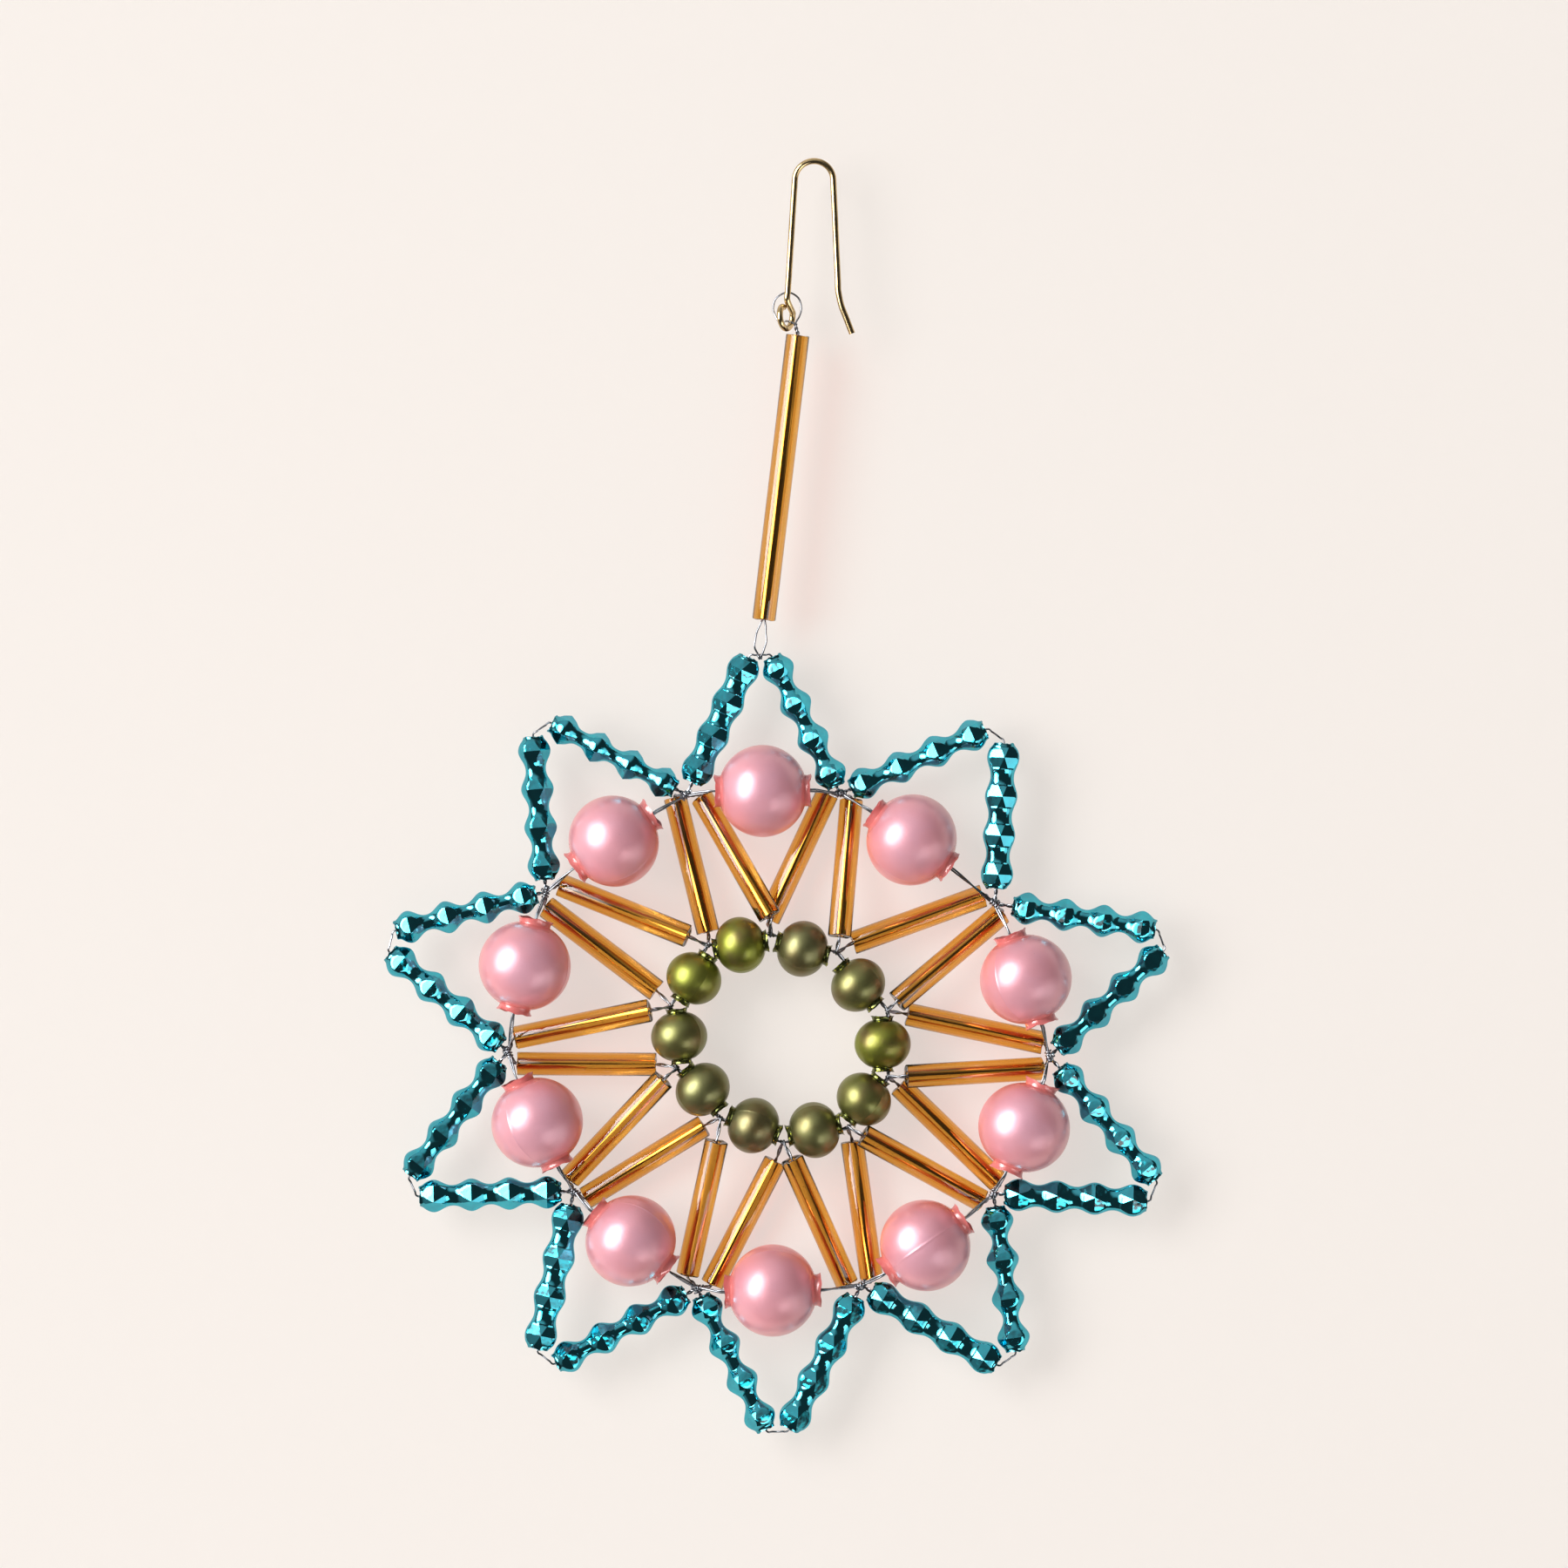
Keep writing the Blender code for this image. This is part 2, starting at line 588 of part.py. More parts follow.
def knot_shape(centre, axis, diameter, length):
    """A small spindle that stands for the close twist of a wire."""
    profile = [(0.3, -0.5), (1.0, -0.2), (1.0, 0.2), (0.3, 0.5)]
    path = [centre + axis * length * height for _, height in profile]
    vertices, faces = swept_tube(path, diameter / 2, WIRE_SIDES + 1)
    sides = WIRE_SIDES + 1
    for i, (scale, _) in enumerate(profile):
        for k in range(sides):
            vertices[i * sides + k] = path[i] + (vertices[i * sides + k] - path[i]) * scale
    return vertices, faces


def add_hanger(materials, pivot, eye_centre, layout):
    """The hanger wire as one body: ring, twist, stem and the lens-shaped eye, joined by their knots."""
    steel = materials["steel_wire"]
    top, mouth, down, link = layout
    ring, foot = ring_points(eye_centre)
    mesh = make_mesh("hanger_wire", swept_tube(ring, WIRE_RADIUS, WIRE_SIDES, closed=True), steel)
    wire = add_object("hanger_wire", mesh)
    lens = lens_points(mouth, link)
    length = (top - foot).length
    twist = knot_shape(foot + (top - foot) * 0.45, (top - foot).normalized(), TWIST_DIAMETER, length)
    stem = swept_tube([foot + (top - foot) * 0.3, top + down * MM, lens[0]], WIRE_RADIUS, WIRE_SIDES)
    add_union(wire, twist, "ring_twist", steel)
    add_union(wire, stem, "hanger_stem", steel)
    add_union(wire, swept_tube(lens, WIRE_RADIUS, WIRE_SIDES, closed=True), "lens_eye", steel)
    wire.parent = pivot
    wire.location = -world_place(pivot)


def bead_place(first_knot, second_knot, drop, slide=0.0, lift=0.0):
    """Middle and axis of a bead between two knots: slid along its wire, dropped outwards and lifted forwards."""
    axis = (second_knot - first_knot).normalized()
    outward = Vector((-axis.z, 0, axis.x))
    return (first_knot + second_knot) / 2 + axis * slide + outward * drop + Vector((0, -lift, 0)), axis


def pearl_wire_points(outer_knots):
    """Closed path of the wire through the pearls: it steps forward from each knot to run through the beads' bores."""
    points = []
    for i in range(STAR_POINTS):
        first, second = outer_knots[i - 1], outer_knots[i]
        slide = PEARL_SLIDES_MM[i % len(PEARL_SLIDES_MM)] * MM
        middle, axis = bead_place(first, second, 0.0, slide, PEARL_LIFT)
        reach = PEARL_LENGTH / 2 + WIRE_RADIUS
        points += [middle - axis * reach, middle + axis * reach, second]
    return points


def build():
    for thing in list(bpy.data.objects):
        bpy.data.objects.remove(thing, do_unlink=True)
    materials = make_materials()

    hook_path, eye_centre = hook_points()
    hook = make_mesh("hook", swept_tube(hook_path, HOOK_WIRE_DIAMETER / 2, HOOK_SIDES), materials["hook_wire"])
    add_object("hook", hook)

    layout = hanger_layout(eye_centre)
    top, mouth, down, link = layout
    hanger_pivot = add_pivot("hanger_pivot", eye_centre)
    add_hanger(materials, hanger_pivot, eye_centre, layout)
    profile = tube_profile(GOLD_TUBE_DIAMETER, GOLD_TUBE_BORE, HANGER_TUBE_LENGTH)
    tube = make_mesh("hanger_tube", turned_ring(profile, HANGER_TUBE_SIDES), materials["gold_glass"])
    add_object("hanger_tube", tube, hanger_pivot, (top + mouth) / 2, down)

    inner = knots(INNER_RADIUS, 0.0, INNER_KNOT_SHIFTS_MM, INNER_KNOT_TURNS)
    outer = knots(OUTER_RADIUS, HALF_STEP, OUTER_KNOT_SHIFTS_MM, OUTER_KNOT_TURNS)
    centre = link - star_points(outer)[0].tip
    inner, outer = [p + centre for p in inner], [p + centre for p in outer]
    star_pivot = add_pivot("star_pivot", link, hanger_pivot)

    for i, point in enumerate(star_points(outer)):
        turns = (ROD_TURNS[2 * i % len(ROD_TURNS)], ROD_TURNS[(2 * i + 1) % len(ROD_TURNS)])
        add_star_point(i + 1, point, turns, materials, star_pivot)

    spokes = star_spokes(outer, inner, centre)
    profile = tube_profile(GOLD_TUBE_DIAMETER, GOLD_TUBE_BORE, SPOKE_LENGTH)
    tube = make_mesh("gold_spoke", turned_ring(profile, SPOKE_SIDES), materials["gold_glass"])
    for i, spoke in enumerate(spokes):
        add_object(f"gold_spoke_{i + 1:02d}", tube, star_pivot, spoke.middle, spoke.direction)

    wires = {
        "inner_ring_wire": inner,
        "pearl_ring_wire": pearl_wire_points(outer),
        "spoke_wire": spoke_wire_points(spokes, outer, inner, centre),
    }
    for name, points in wires.items():
        mesh = make_mesh(name, swept_tube(points, WIRE_RADIUS, WIRE_SIDES, closed=True), materials["steel_wire"])
        wire = add_object(name, mesh, star_pivot)
        wire.location = -world_place(star_pivot)

    sizes = (GREEN_DIAMETER, GREEN_BODY_LENGTH, GREEN_LENGTH, GREEN_NECK_DIAMETER, GREEN_BORE, GREEN_WALL)
    green = make_mesh("green_bead", turned_ring(bead_profile(*sizes, 4), GREEN_SIDES), materials["green_pearl"])
    sizes = (PEARL_DIAMETER, PEARL_BODY_LENGTH, PEARL_LENGTH, PEARL_NECK_DIAMETER, PEARL_BORE, PEARL_WALL)
    pearl = make_mesh("pink_pearl", turned_ring(bead_profile(*sizes, 6), PEARL_SIDES), materials["pink_pearl"])
    for i in range(STAR_POINTS):
        middle, axis = bead_place(inner[i], inner[(i + 1) % STAR_POINTS], -GREEN_DROP)
        add_object(f"green_bead_{i + 1:02d}", green, star_pivot, middle, axis)
        slide = PEARL_SLIDES_MM[i % len(PEARL_SLIDES_MM)] * MM
        middle, axis = bead_place(outer[i - 1], outer[i], PEARL_DROP, slide, PEARL_LIFT)
        add_object(f"pink_pearl_{i + 1:02d}", pearl, star_pivot, middle, axis)


build()
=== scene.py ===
"""Glass-bead star ornament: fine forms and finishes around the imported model.

The file is laid out as an add-on and run as a script. Each operator makes one
piece, or a group of like pieces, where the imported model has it. Lengths are in
metres, and those of the ornament are written as millimetres times MM. The star
faces -Y and hangs down the -Z axis.
"""

import json
import math

import bpy
import numpy as np
from bpy.props import FloatProperty, FloatVectorProperty, IntProperty, PointerProperty
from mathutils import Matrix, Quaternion, Vector


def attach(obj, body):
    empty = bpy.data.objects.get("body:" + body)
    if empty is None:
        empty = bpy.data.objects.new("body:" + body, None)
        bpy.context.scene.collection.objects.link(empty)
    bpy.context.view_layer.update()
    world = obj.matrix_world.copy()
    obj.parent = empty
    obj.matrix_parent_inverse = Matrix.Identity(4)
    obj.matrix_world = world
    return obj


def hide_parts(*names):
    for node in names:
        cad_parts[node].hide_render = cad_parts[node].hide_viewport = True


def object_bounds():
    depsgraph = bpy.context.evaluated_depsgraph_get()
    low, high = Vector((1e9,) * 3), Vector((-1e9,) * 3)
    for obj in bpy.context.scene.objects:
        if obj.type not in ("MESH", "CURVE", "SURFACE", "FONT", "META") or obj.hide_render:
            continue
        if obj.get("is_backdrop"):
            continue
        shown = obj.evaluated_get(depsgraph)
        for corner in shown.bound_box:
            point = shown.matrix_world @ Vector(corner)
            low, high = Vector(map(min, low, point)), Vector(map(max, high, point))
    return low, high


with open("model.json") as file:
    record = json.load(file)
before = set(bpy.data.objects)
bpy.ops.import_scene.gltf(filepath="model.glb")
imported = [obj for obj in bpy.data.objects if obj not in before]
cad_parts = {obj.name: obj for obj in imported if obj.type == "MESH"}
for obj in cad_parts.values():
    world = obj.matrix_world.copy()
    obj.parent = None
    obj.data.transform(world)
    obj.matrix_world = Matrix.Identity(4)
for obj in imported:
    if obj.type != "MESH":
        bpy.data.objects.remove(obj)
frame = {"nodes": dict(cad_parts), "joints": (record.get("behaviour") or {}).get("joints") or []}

bl_info = {
    "name": "Glass-Bead Star Ornament",
    "version": (1, 0, 0),
    "blender": (4, 5, 0),
    "location": "View3D > Sidebar > Star Ornament",
    "description": "Builds a hanging star of blown glass beads, rods and tubes on steel wire",
    "category": "Object",
}

MM = 0.001
POINTS = 10
STEP = 2 * math.pi / POINTS
FRONT = np.array([0.0, -1.0, 0.0])
UP = np.array([0.0, 0.0, 1.0])
PHOTO_PIXELS_PER_MM = 9.0
PHOTO_SIZE = 1800
PHOTO_ORIGIN = (934.5, 188.5)
STRAND_SIDES = 8
NEAR_STRAND_SIDES = 10
STRAND_SPREAD = 1.05
SEAM_HEIGHT = 0.04 * MM
# Width of each rod's necks in the photograph, in millimetres: the left and then the right rod of each
# star point, clockwise from the top
NECK_WIDTHS = (3.1, 2.15, 2.3, 3.0, 2.2, 2.2, 2.15, 2.8, 2.1, 2.9,
               2.7, 1.95, 2.1, 2.95, 2.7, 2.4, 2.3, 2.05, 2.65, 2.4)


# Settings that a user would change


def length_setting(name, description, length):
    """A length, shown in the scene's unit."""
    return FloatProperty(name=name, description=description, default=length, unit="LENGTH", precision=5)


def share_setting(name, description, default, least=0.1):
    """A slope or a share, of one at most."""
    return FloatProperty(name=name, description=description, default=default, min=least, max=1.0)


def colour_setting(name, description, default):
    """A colour, in linear light."""
    return FloatVectorProperty(name=name, description=description, default=default, subtype="COLOR",
                               min=0.0, max=1.0)


class RodSettings(bpy.types.PropertyGroup):
    """Sizes and colour of the teal rods"""

    lobe_diameter: length_setting("Lobe Diameter", "Width of a rod at the middle of a lobe", 4.14 * MM)
    apex_diameter: length_setting(
        "Apex Diameter", "Depth of a rod over the points of its two pyramids", 4.2 * MM)
    waist_flatness: share_setting(
        "Waist Flatness", "Depth of a rod between two pyramids, as a share of its width there", 0.82, 0.3)
    end_slope: share_setting("End Slope", "Fall of the two facets that face along the rod", 0.56)
    side_slope: share_setting("Side Slope", "Fall of the four side facets across the rod", 0.58)
    side_tilt: share_setting("Side Tilt", "Fall of the four side facets along the rod", 0.33)
    lobes: IntProperty(name="Lobes", description="Lobes on each rod", default=4, min=1)
    end_length: length_setting(
        "End Length", "From the middle of the last lobe to the broken end", 1.9 * MM)
    colour: colour_setting("Lacquer", "Colour of the mirrored teal lacquer", (0.015, 0.36, 0.46))


class PearlSettings(bpy.types.PropertyGroup):
    """Sizes and colours of the pink pearls"""

    diameter: length_setting("Diameter", "Width of a pearl across its wire", 11.76 * MM)
    body_length: length_setting("Body Length", "Length of the round part along the wire", 11.4 * MM)
    length: length_setting("Length", "Length over both necks", 12.9 * MM)
    neck_diameter: length_setting("Neck Diameter", "Width of the rim of a neck", 4.5 * MM)
    colour: colour_setting("Pearl", "Colour of the pearl lacquer, seen straight on", (0.80, 0.40, 0.50))
    # The outline colour is painted light: a glow and sheen of light through the glass at the outline, not
    # a colour of the lacquer.
    edge_colour: colour_setting(
        "Pearl Edge", "Colour of the pearl lacquer towards its outline", (0.93, 0.30, 0.30))
    neck_colour: colour_setting("Neck", "Colour of the bare coral glass at the necks", (0.80, 0.23, 0.22))


class GreenSettings(bpy.types.PropertyGroup):
    """Sizes and colours of the green beads"""

    diameter: length_setting("Diameter", "Width of a bead across its wire", 7.2 * MM)
    body_length: length_setting("Body Length", "Length of the round part along the wire", 6.55 * MM)
    length: length_setting("Length", "Length over both necks", 7.45 * MM)
    neck_diameter: length_setting("Neck Diameter", "Width of the rim of a neck", 2.9 * MM)
    colour: colour_setting("Lacquer", "Colour of the olive metallic lacquer", (0.20, 0.19, 0.10))
    bright_colour: colour_setting("Bright Lacquer", "Colour of the yellower beads", (0.24, 0.26, 0.035))
    neck_colour: colour_setting("Neck", "Colour of the dark glass at the necks", (0.10, 0.11, 0.03))


class TubeSettings(bpy.types.PropertyGroup):
    """Sizes and colours of the gold tubes"""

    diameter: length_setting("Diameter", "Outside width of a gold tube", 3.0 * MM)
    bore: length_setting("Bore", "Width of the silver-lined bore", 1.16 * MM)
    glass_colour: colour_setting("Glass", "Tint of the amber glass, seen straight on", (0.80, 0.42, 0.08))
    edge_colour: colour_setting(
        "Glass Edge", "Tint of the amber glass towards its outline, where it is thicker",
        (0.70, 0.31, 0.03))
    lining_colour: colour_setting(
        "Lining", "Colour of the mirror that lines the bore", (0.88, 0.76, 0.54))


class WireSettings(bpy.types.PropertyGroup):
    """Thickness and colours of the wires"""

    steel_diameter: length_setting("Steel Wire", "Thickness of the steel wire", 0.25 * MM)
    steel_colour: colour_setting("Steel", "Colour of the steel wire", (0.36, 0.37, 0.40))
    hook_diameter: length_setting("Hook Wire", "Thickness of the hook's wire", 0.8 * MM)
    hook_colour: colour_setting("Hook", "Colour of the hook's brass wire", (0.72, 0.53, 0.27))


class StageSettings(bpy.types.PropertyGroup):
    """Camera and surface of the photograph"""

    backdrop_colour: colour_setting(
        "Backdrop", "Colour of the surface behind the ornament", (0.92, 0.862, 0.812))
    backdrop_gap: length_setting(
        "Backdrop Gap", "From the back of the ornament to the surface behind it", 0.15 * MM)
    camera_distance: FloatProperty(
        name="Camera Distance", description="From the star's plane to the camera", default=1.4,
        unit="LENGTH")


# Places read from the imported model


def unit(vectors):
    """Vectors scaled to length one."""
    return vectors / np.linalg.norm(vectors, axis=-1, keepdims=True)


def node_points(name):
    """Corner points of a CAD node, each once."""
    mesh = frame["nodes"][name].data
    points = np.empty(len(mesh.vertices) * 3, np.float32)
    mesh.vertices.foreach_get("co", points)
    return np.unique(np.round(points.reshape(-1, 3).astype(float), 7), axis=0)


def joint_line(name):
    """A point on a joint's axis, and the axis."""
    joint = next(j for j in frame["joints"] if j["name"] == name)
    return np.array(joint["pos_m"], float), unit(np.array(joint["axis"], float))


def tube_line(name):
    """Middle, direction and length of a straight tube: the direction in which its corner points spread
    most."""
    points = node_points(name)
    middle = points.mean(axis=0)
    axis = np.linalg.svd(points - middle)[2][0]
    if axis[2] > 0:
        axis = -axis
    along = (points - middle) @ axis
    return middle, axis, along.max() - along.min()


def ring_knots(name, first_turn):
    """The knots of one of the star's rings, clockwise from the top: the mean of the wire's corners near
    each."""
    points = node_points(name)
    points = points[np.abs(points[:, 1]) < 0.3 * MM]
    centre = (points.min(axis=0) + points.max(axis=0)) / 2
    turns = np.arctan2(points[:, 0] - centre[0], points[:, 2] - centre[2])
    numbers = np.round((turns - first_turn) / STEP).astype(int) % POINTS
    return np.array([points[numbers == i].mean(axis=0) for i in range(POINTS)])


INNER_KNOTS = ring_knots("inner_ring_wire", 0.0)
OUTER_KNOTS = ring_knots("pearl_ring_wire", STEP / 2)
STAR_CENTRE = INNER_KNOTS.mean(axis=0)


def facing_front(axis, turn):
    """The way square to an axis that faces the front, turned by an angle about the axis."""
    forward = unit(FRONT - (FRONT @ axis) * axis)
    return math.cos(turn) * forward + math.sin(turn) * np.cross(axis, forward)


def line_spans(points, line):
    """Distance of each point from a line, given by one of its points and its direction."""
    return np.linalg.norm(np.cross(points - line[0], line[1]), axis=1)


def rod_lines(number, settings):
    """Both rods of a star point: each one's start, direction, pitch of its lobes, and the way a pyramid
    faces.

    The node's corner points go to the nearer of two lines from a knot to the
    tip, and each line is then fitted to its own points, wire left out. Only
    those of them that lie in a ring across the rod count for its ends and its
    turn. A neck, halfway between two lobes, is thinnest in the way that the
    pyramids face, so the turn is half the angle of the sum of the points
    there, each with its direction doubled, and a quarter turn more.
    """
    off_wire, on_rod, ring_depth, ring_count, neck_depth = 1.05 * MM, 0.98 * MM, 0.06 * MM, 10, 0.1
    points = node_points(f"star_point_{number + 1:02d}")
    tip = points[np.argmax(np.linalg.norm(points - STAR_CENTRE, axis=1))]
    lines = [(knot, unit(tip - knot)) for knot in (OUTER_KNOTS[number - 1], OUTER_KNOTS[number])]
    for _ in range(6):
        spans = [line_spans(points, line) for line in lines]
        for k in range(2):
            own = points[(spans[k] < spans[1 - k]) & (spans[k] > off_wire)]
            start = own.mean(axis=0)
            axis = np.linalg.svd(own - start)[2][0]
            lines[k] = start, axis * np.sign(axis @ (tip - STAR_CENTRE))
    rods = []
    for (start, axis), other in (lines, lines[::-1]):
        spans = line_spans(points, (start, axis))
        own = points[(spans < line_spans(points, other)) & (spans > on_rod)]
        along = (own - start) @ axis
        in_ring = np.sum(np.abs(along[:, None] - along) < ring_depth, axis=1) >= ring_count
        own, along = own[in_ring], along[in_ring]
        pitch = (along.max() - along.min() - 2 * settings.end_length) / (settings.lobes - 1)
        forward = facing_front(axis, 0.0)
        place = (along - along.min() - settings.end_length) / pitch
        necks = (np.abs(place % 1 - 0.5) < neck_depth) & (place > 0) & (place < settings.lobes - 1)
        offsets = own[necks] - start
        turn = offsets @ forward + 1j * (offsets @ np.cross(axis, forward))
        turn = turn - turn.mean()
        facing = facing_front(axis, np.angle(-np.sum(turn**2)) / 2)
        rods.append((start + axis * along.min(), axis, pitch, facing))
    return rods


# Shapes worked out as whole arrays


def spline(points, steps):
    """Points along a smooth curve through the given ones: a cubic on each span, whose slope at a point is
    half the step from the point before it to the point after it."""
    points = np.asarray(points, float)
    padded = np.concatenate([2 * points[:1] - points[1:2], points, 2 * points[-1:] - points[-2:-1]])
    a, b, c, d = padded[:-3, None], padded[1:-2, None], padded[2:-1, None], padded[3:, None]
    t = (np.arange(steps) / steps)[None, :, None]
    curve = 0.5 * (2 * b + (c - a) * t + (2 * a - 5 * b + 4 * c - d) * t**2
                   + (3 * b - a - 3 * c + d) * t**3)
    return np.concatenate([curve.reshape(-1, 3), points[-1:]])


def polar(radii, angles, heights):
    """Points about the Z axis: a radius turned by an angle, at a height."""
    return np.stack(np.broadcast_arrays(radii * np.cos(angles), radii * np.sin(angles), heights), axis=-1)


def even_turns(columns):
    """Angles spread evenly round a circle."""
    return 2 * math.pi * np.arange(columns) / columns


def any_turn(chance, most=6.3):
    """An angle drawn at random up to the most, which is a whole turn where it isn't given."""
    return chance.uniform(0, most)


def any_place(chance, reach=40):
    """A place drawn at random, so that no two pieces show the same stretch of a pattern."""
    return chance.uniform(-reach, reach, 3)


def distance_along(path):
    """Distance along a path to each of its points."""
    return np.linalg.norm(np.diff(path, axis=0, prepend=path[:1]), axis=1).cumsum()


def tangents_of(path):
    """Direction of a path at each of its points."""
    return unit(np.gradient(path, axis=0))


def sides_of(tangents):
    """Two directions square to the path and to each other, worked out from the fixed direction that stays
    furthest from every tangent, so that they turn as little as they can. The directions to choose from
    spread evenly over a ball: a spiral of golden turns."""
    choices = 64
    k = np.arange(choices) + 0.5
    height, turn = 1 - 2 * k / choices, math.pi * (1 + 5**0.5) * k
    ways = polar(np.sqrt(1 - height**2), turn, height)
    best = ways[np.argmin(np.abs(ways @ tangents.T).max(axis=1))]
    side = unit(np.cross(tangents, best))
    return side, np.cross(tangents, side)


def grid_quads(rows, columns, closed_rows=False):
    """Faces of a grid of points whose columns run right round: each joins a point, the next in its row,
    and the two in the row above."""
    row = np.arange(rows if closed_rows else rows - 1)[:, None]
    column = np.arange(columns)[None, :]
    low, high = row * columns, (row + 1) % rows * columns
    following = (column + 1) % columns
    quads = np.stack([low + column, low + following, high + following, high + column], axis=-1)
    return quads.reshape(-1, 4)


def shell(points, quads, fans=(), *, place, rim=None, slot=0):
    """One closed surface, turned to face outwards if its volume comes out negative. Each fan closes a row
    of points with triangles to their mean, whose place is zero. Place and rim are kept for the finish,
    and the rim is zero where it isn't given."""
    points = points.reshape(-1, 3)
    triangles = []
    for row in fans:
        points = np.concatenate([points, points[row].mean(axis=0, keepdims=True)])
        middle = np.full(len(row), len(points) - 1)
        triangles.append(np.stack([row, np.roll(row, -1), middle], axis=1))
    place = place.reshape(-1, 3)
    rim = np.zeros(len(points)) if rim is None else rim.reshape(-1)
    place = np.concatenate([place, np.zeros((len(points) - len(place), 3))])
    triangles = np.concatenate(triangles) if triangles else np.empty((0, 3), int)
    corners = points - points.mean(axis=0)
    split = np.concatenate([quads[:, [0, 1, 2]], quads[:, [0, 2, 3]], triangles])
    if np.linalg.det(corners[split]).sum() < 0:
        quads, triangles = quads[:, ::-1], triangles[:, ::-1]
    return {"points": points, "quads": quads, "triangles": triangles, "place": place, "rim": rim,
            "slot": slot}


def round_wire(path, diameter, sides, slot=0):
    """A wire of even thickness along a path: a circle of points round each point of the path, square to
    it."""
    path = np.asarray(path)
    side, other = sides_of(tangents_of(path))
    turn = even_turns(sides)
    circle = np.cos(turn)[None, :, None] * side[:, None] + np.sin(turn)[None, :, None] * other[:, None]
    points = path[:, None] + diameter / 2 * circle
    place = polar(1.0, turn[None], distance_along(path)[:, None] / MM)
    rows = len(path)
    ends = (np.arange(sides)[::-1], np.arange(sides) + (rows - 1) * sides)
    return shell(points, grid_quads(rows, sides), ends, place=place, slot=slot)


def twisted_pair(path, steel, turns, phase=0.0, spread=STRAND_SPREAD, sides=STRAND_SIDES, slot=0):
    """Two strands wound round a path: each keeps half the spread, in wire thicknesses, apart from it, and
    goes round evenly along it."""
    path = np.asarray(path)
    side, other = sides_of(tangents_of(path))
    along = distance_along(path)
    turn = (2 * math.pi * turns * along / along[-1] + phase)[:, None]
    wound = steel * spread / 2 * (np.cos(turn) * side + np.sin(turn) * other)
    return [round_wire(strand, steel, sides, slot) for strand in (path + wound, path - wound)]


def coil(middle, axis, radius, turns, length, steel, phase=0.0, sides=STRAND_SIDES):
    """A strand wound round an axis: a circle carried evenly along it."""
    axis = unit(np.asarray(axis, float))
    side, other = sides_of(axis[None])
    steps_a_turn = 14
    share = np.linspace(-0.5, 0.5, int(turns * steps_a_turn) + 1)[:, None]
    turn = 2 * math.pi * turns * share + phase
    path = middle + share * length * axis + radius * (np.cos(turn) * side + np.sin(turn) * other)
    return round_wire(path, steel, sides)


def add_piece(name, shells, materials, body, nodes, tone=0.5, sharp=50.0):
    """Puts shells into one mesh, with each point's place on its own piece in millimetres, how near it is
    to a broken rim, and the tone of the whole piece; then says what it rides on and stands for."""
    counts = np.cumsum([0] + [len(s["points"]) for s in shells])
    faces, slots = [], []
    for s, first in zip(shells, counts):
        faces += (s["quads"] + first).tolist() + (s["triangles"] + first).tolist()
        slots += [s["slot"]] * (len(s["quads"]) + len(s["triangles"]))
    mesh = bpy.data.meshes.new(name)
    mesh.from_pydata(np.concatenate([s["points"] for s in shells]).tolist(), [], faces)
    mesh.polygons.foreach_set("material_index", slots)
    mesh.shade_smooth()
    mesh.set_sharp_from_angle(angle=math.radians(sharp))
    for label, kind, field, values in (
            ("place", "FLOAT_VECTOR", "vector", np.concatenate([s["place"] for s in shells])),
            ("rim", "FLOAT", "value", np.concatenate([s["rim"] for s in shells])),
            ("tone", "FLOAT", "value", np.full(counts[-1], tone))):
        made = mesh.attributes.new(label, kind, "POINT")
        made.data.foreach_set(field, values.astype(np.float32).ravel())
    for material in materials:
        mesh.materials.append(material)
    piece = bpy.data.objects.new(name, mesh)
    bpy.context.scene.collection.objects.link(piece)
    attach(piece, body)
    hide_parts(*nodes)


def set_on_axis(local, middle, axis, facing):
    """Points whose Z runs along the axis and whose X faces the given way, moved to their place on the
    star."""
    x = unit(facing - (facing @ axis) * axis)
    return middle + local[..., 0:1] * x + local[..., 1:2] * np.cross(axis, x) + local[..., 2:3] * axis


def smooth_step(values, low, high):
    """Rises smoothly from 0 at low to 1 at high."""
    t = np.clip((values - low) / (high - low), 0, 1)
    return t * t * (3 - 2 * t)


# Materials


def set_inputs(tree, node, inputs):
    """Links those inputs of a node whose value is a socket, and gives the others their plain value. A
    colour of three numbers gets full alpha where the socket wants four."""
    for key, value in inputs.items():
        socket = node.inputs[key]
        if isinstance(value, bpy.types.NodeSocket):
            tree.links.new(value, socket)
        elif socket.type == "RGBA" and len(value) == 3:
            socket.default_value = (*value, 1.0)
        else:
            socket.default_value = value


def add_node(tree, kind, inputs=None, **attributes):
    """A node with its settings, its plain values and its links made in one go."""
    made = tree.nodes.new(kind)
    for key, value in attributes.items():
        setattr(made, key, value)
    set_inputs(tree, made, inputs or {})
    return made


def maths(tree, operation, *values):
    """The result of one step of arithmetic."""
    return add_node(tree, "ShaderNodeMath", dict(enumerate(values)), operation=operation).outputs[0]


def stretch(tree, place, scales):
    """A place scaled along each of its axes."""
    return add_node(tree, "ShaderNodeVectorMath", {0: place, 1: scales}, operation="MULTIPLY").outputs[0]


def noise(tree, place, scale, detail, roughness=0.5):
    """Soft noise over a place."""
    inputs = {"Vector": place, "Scale": scale, "Detail": detail, "Roughness": roughness}
    return add_node(tree, "ShaderNodeTexNoise", inputs).outputs["Fac"]


def soft_rise(tree, value, low, high, top=1.0):
    """Rises smoothly from 0 at low to the top at high."""
    inputs = {"Value": value, "From Min": low, "From Max": high, "To Max": top}
    return add_node(tree, "ShaderNodeMapRange", inputs, interpolation_type="SMOOTHSTEP").outputs["Result"]


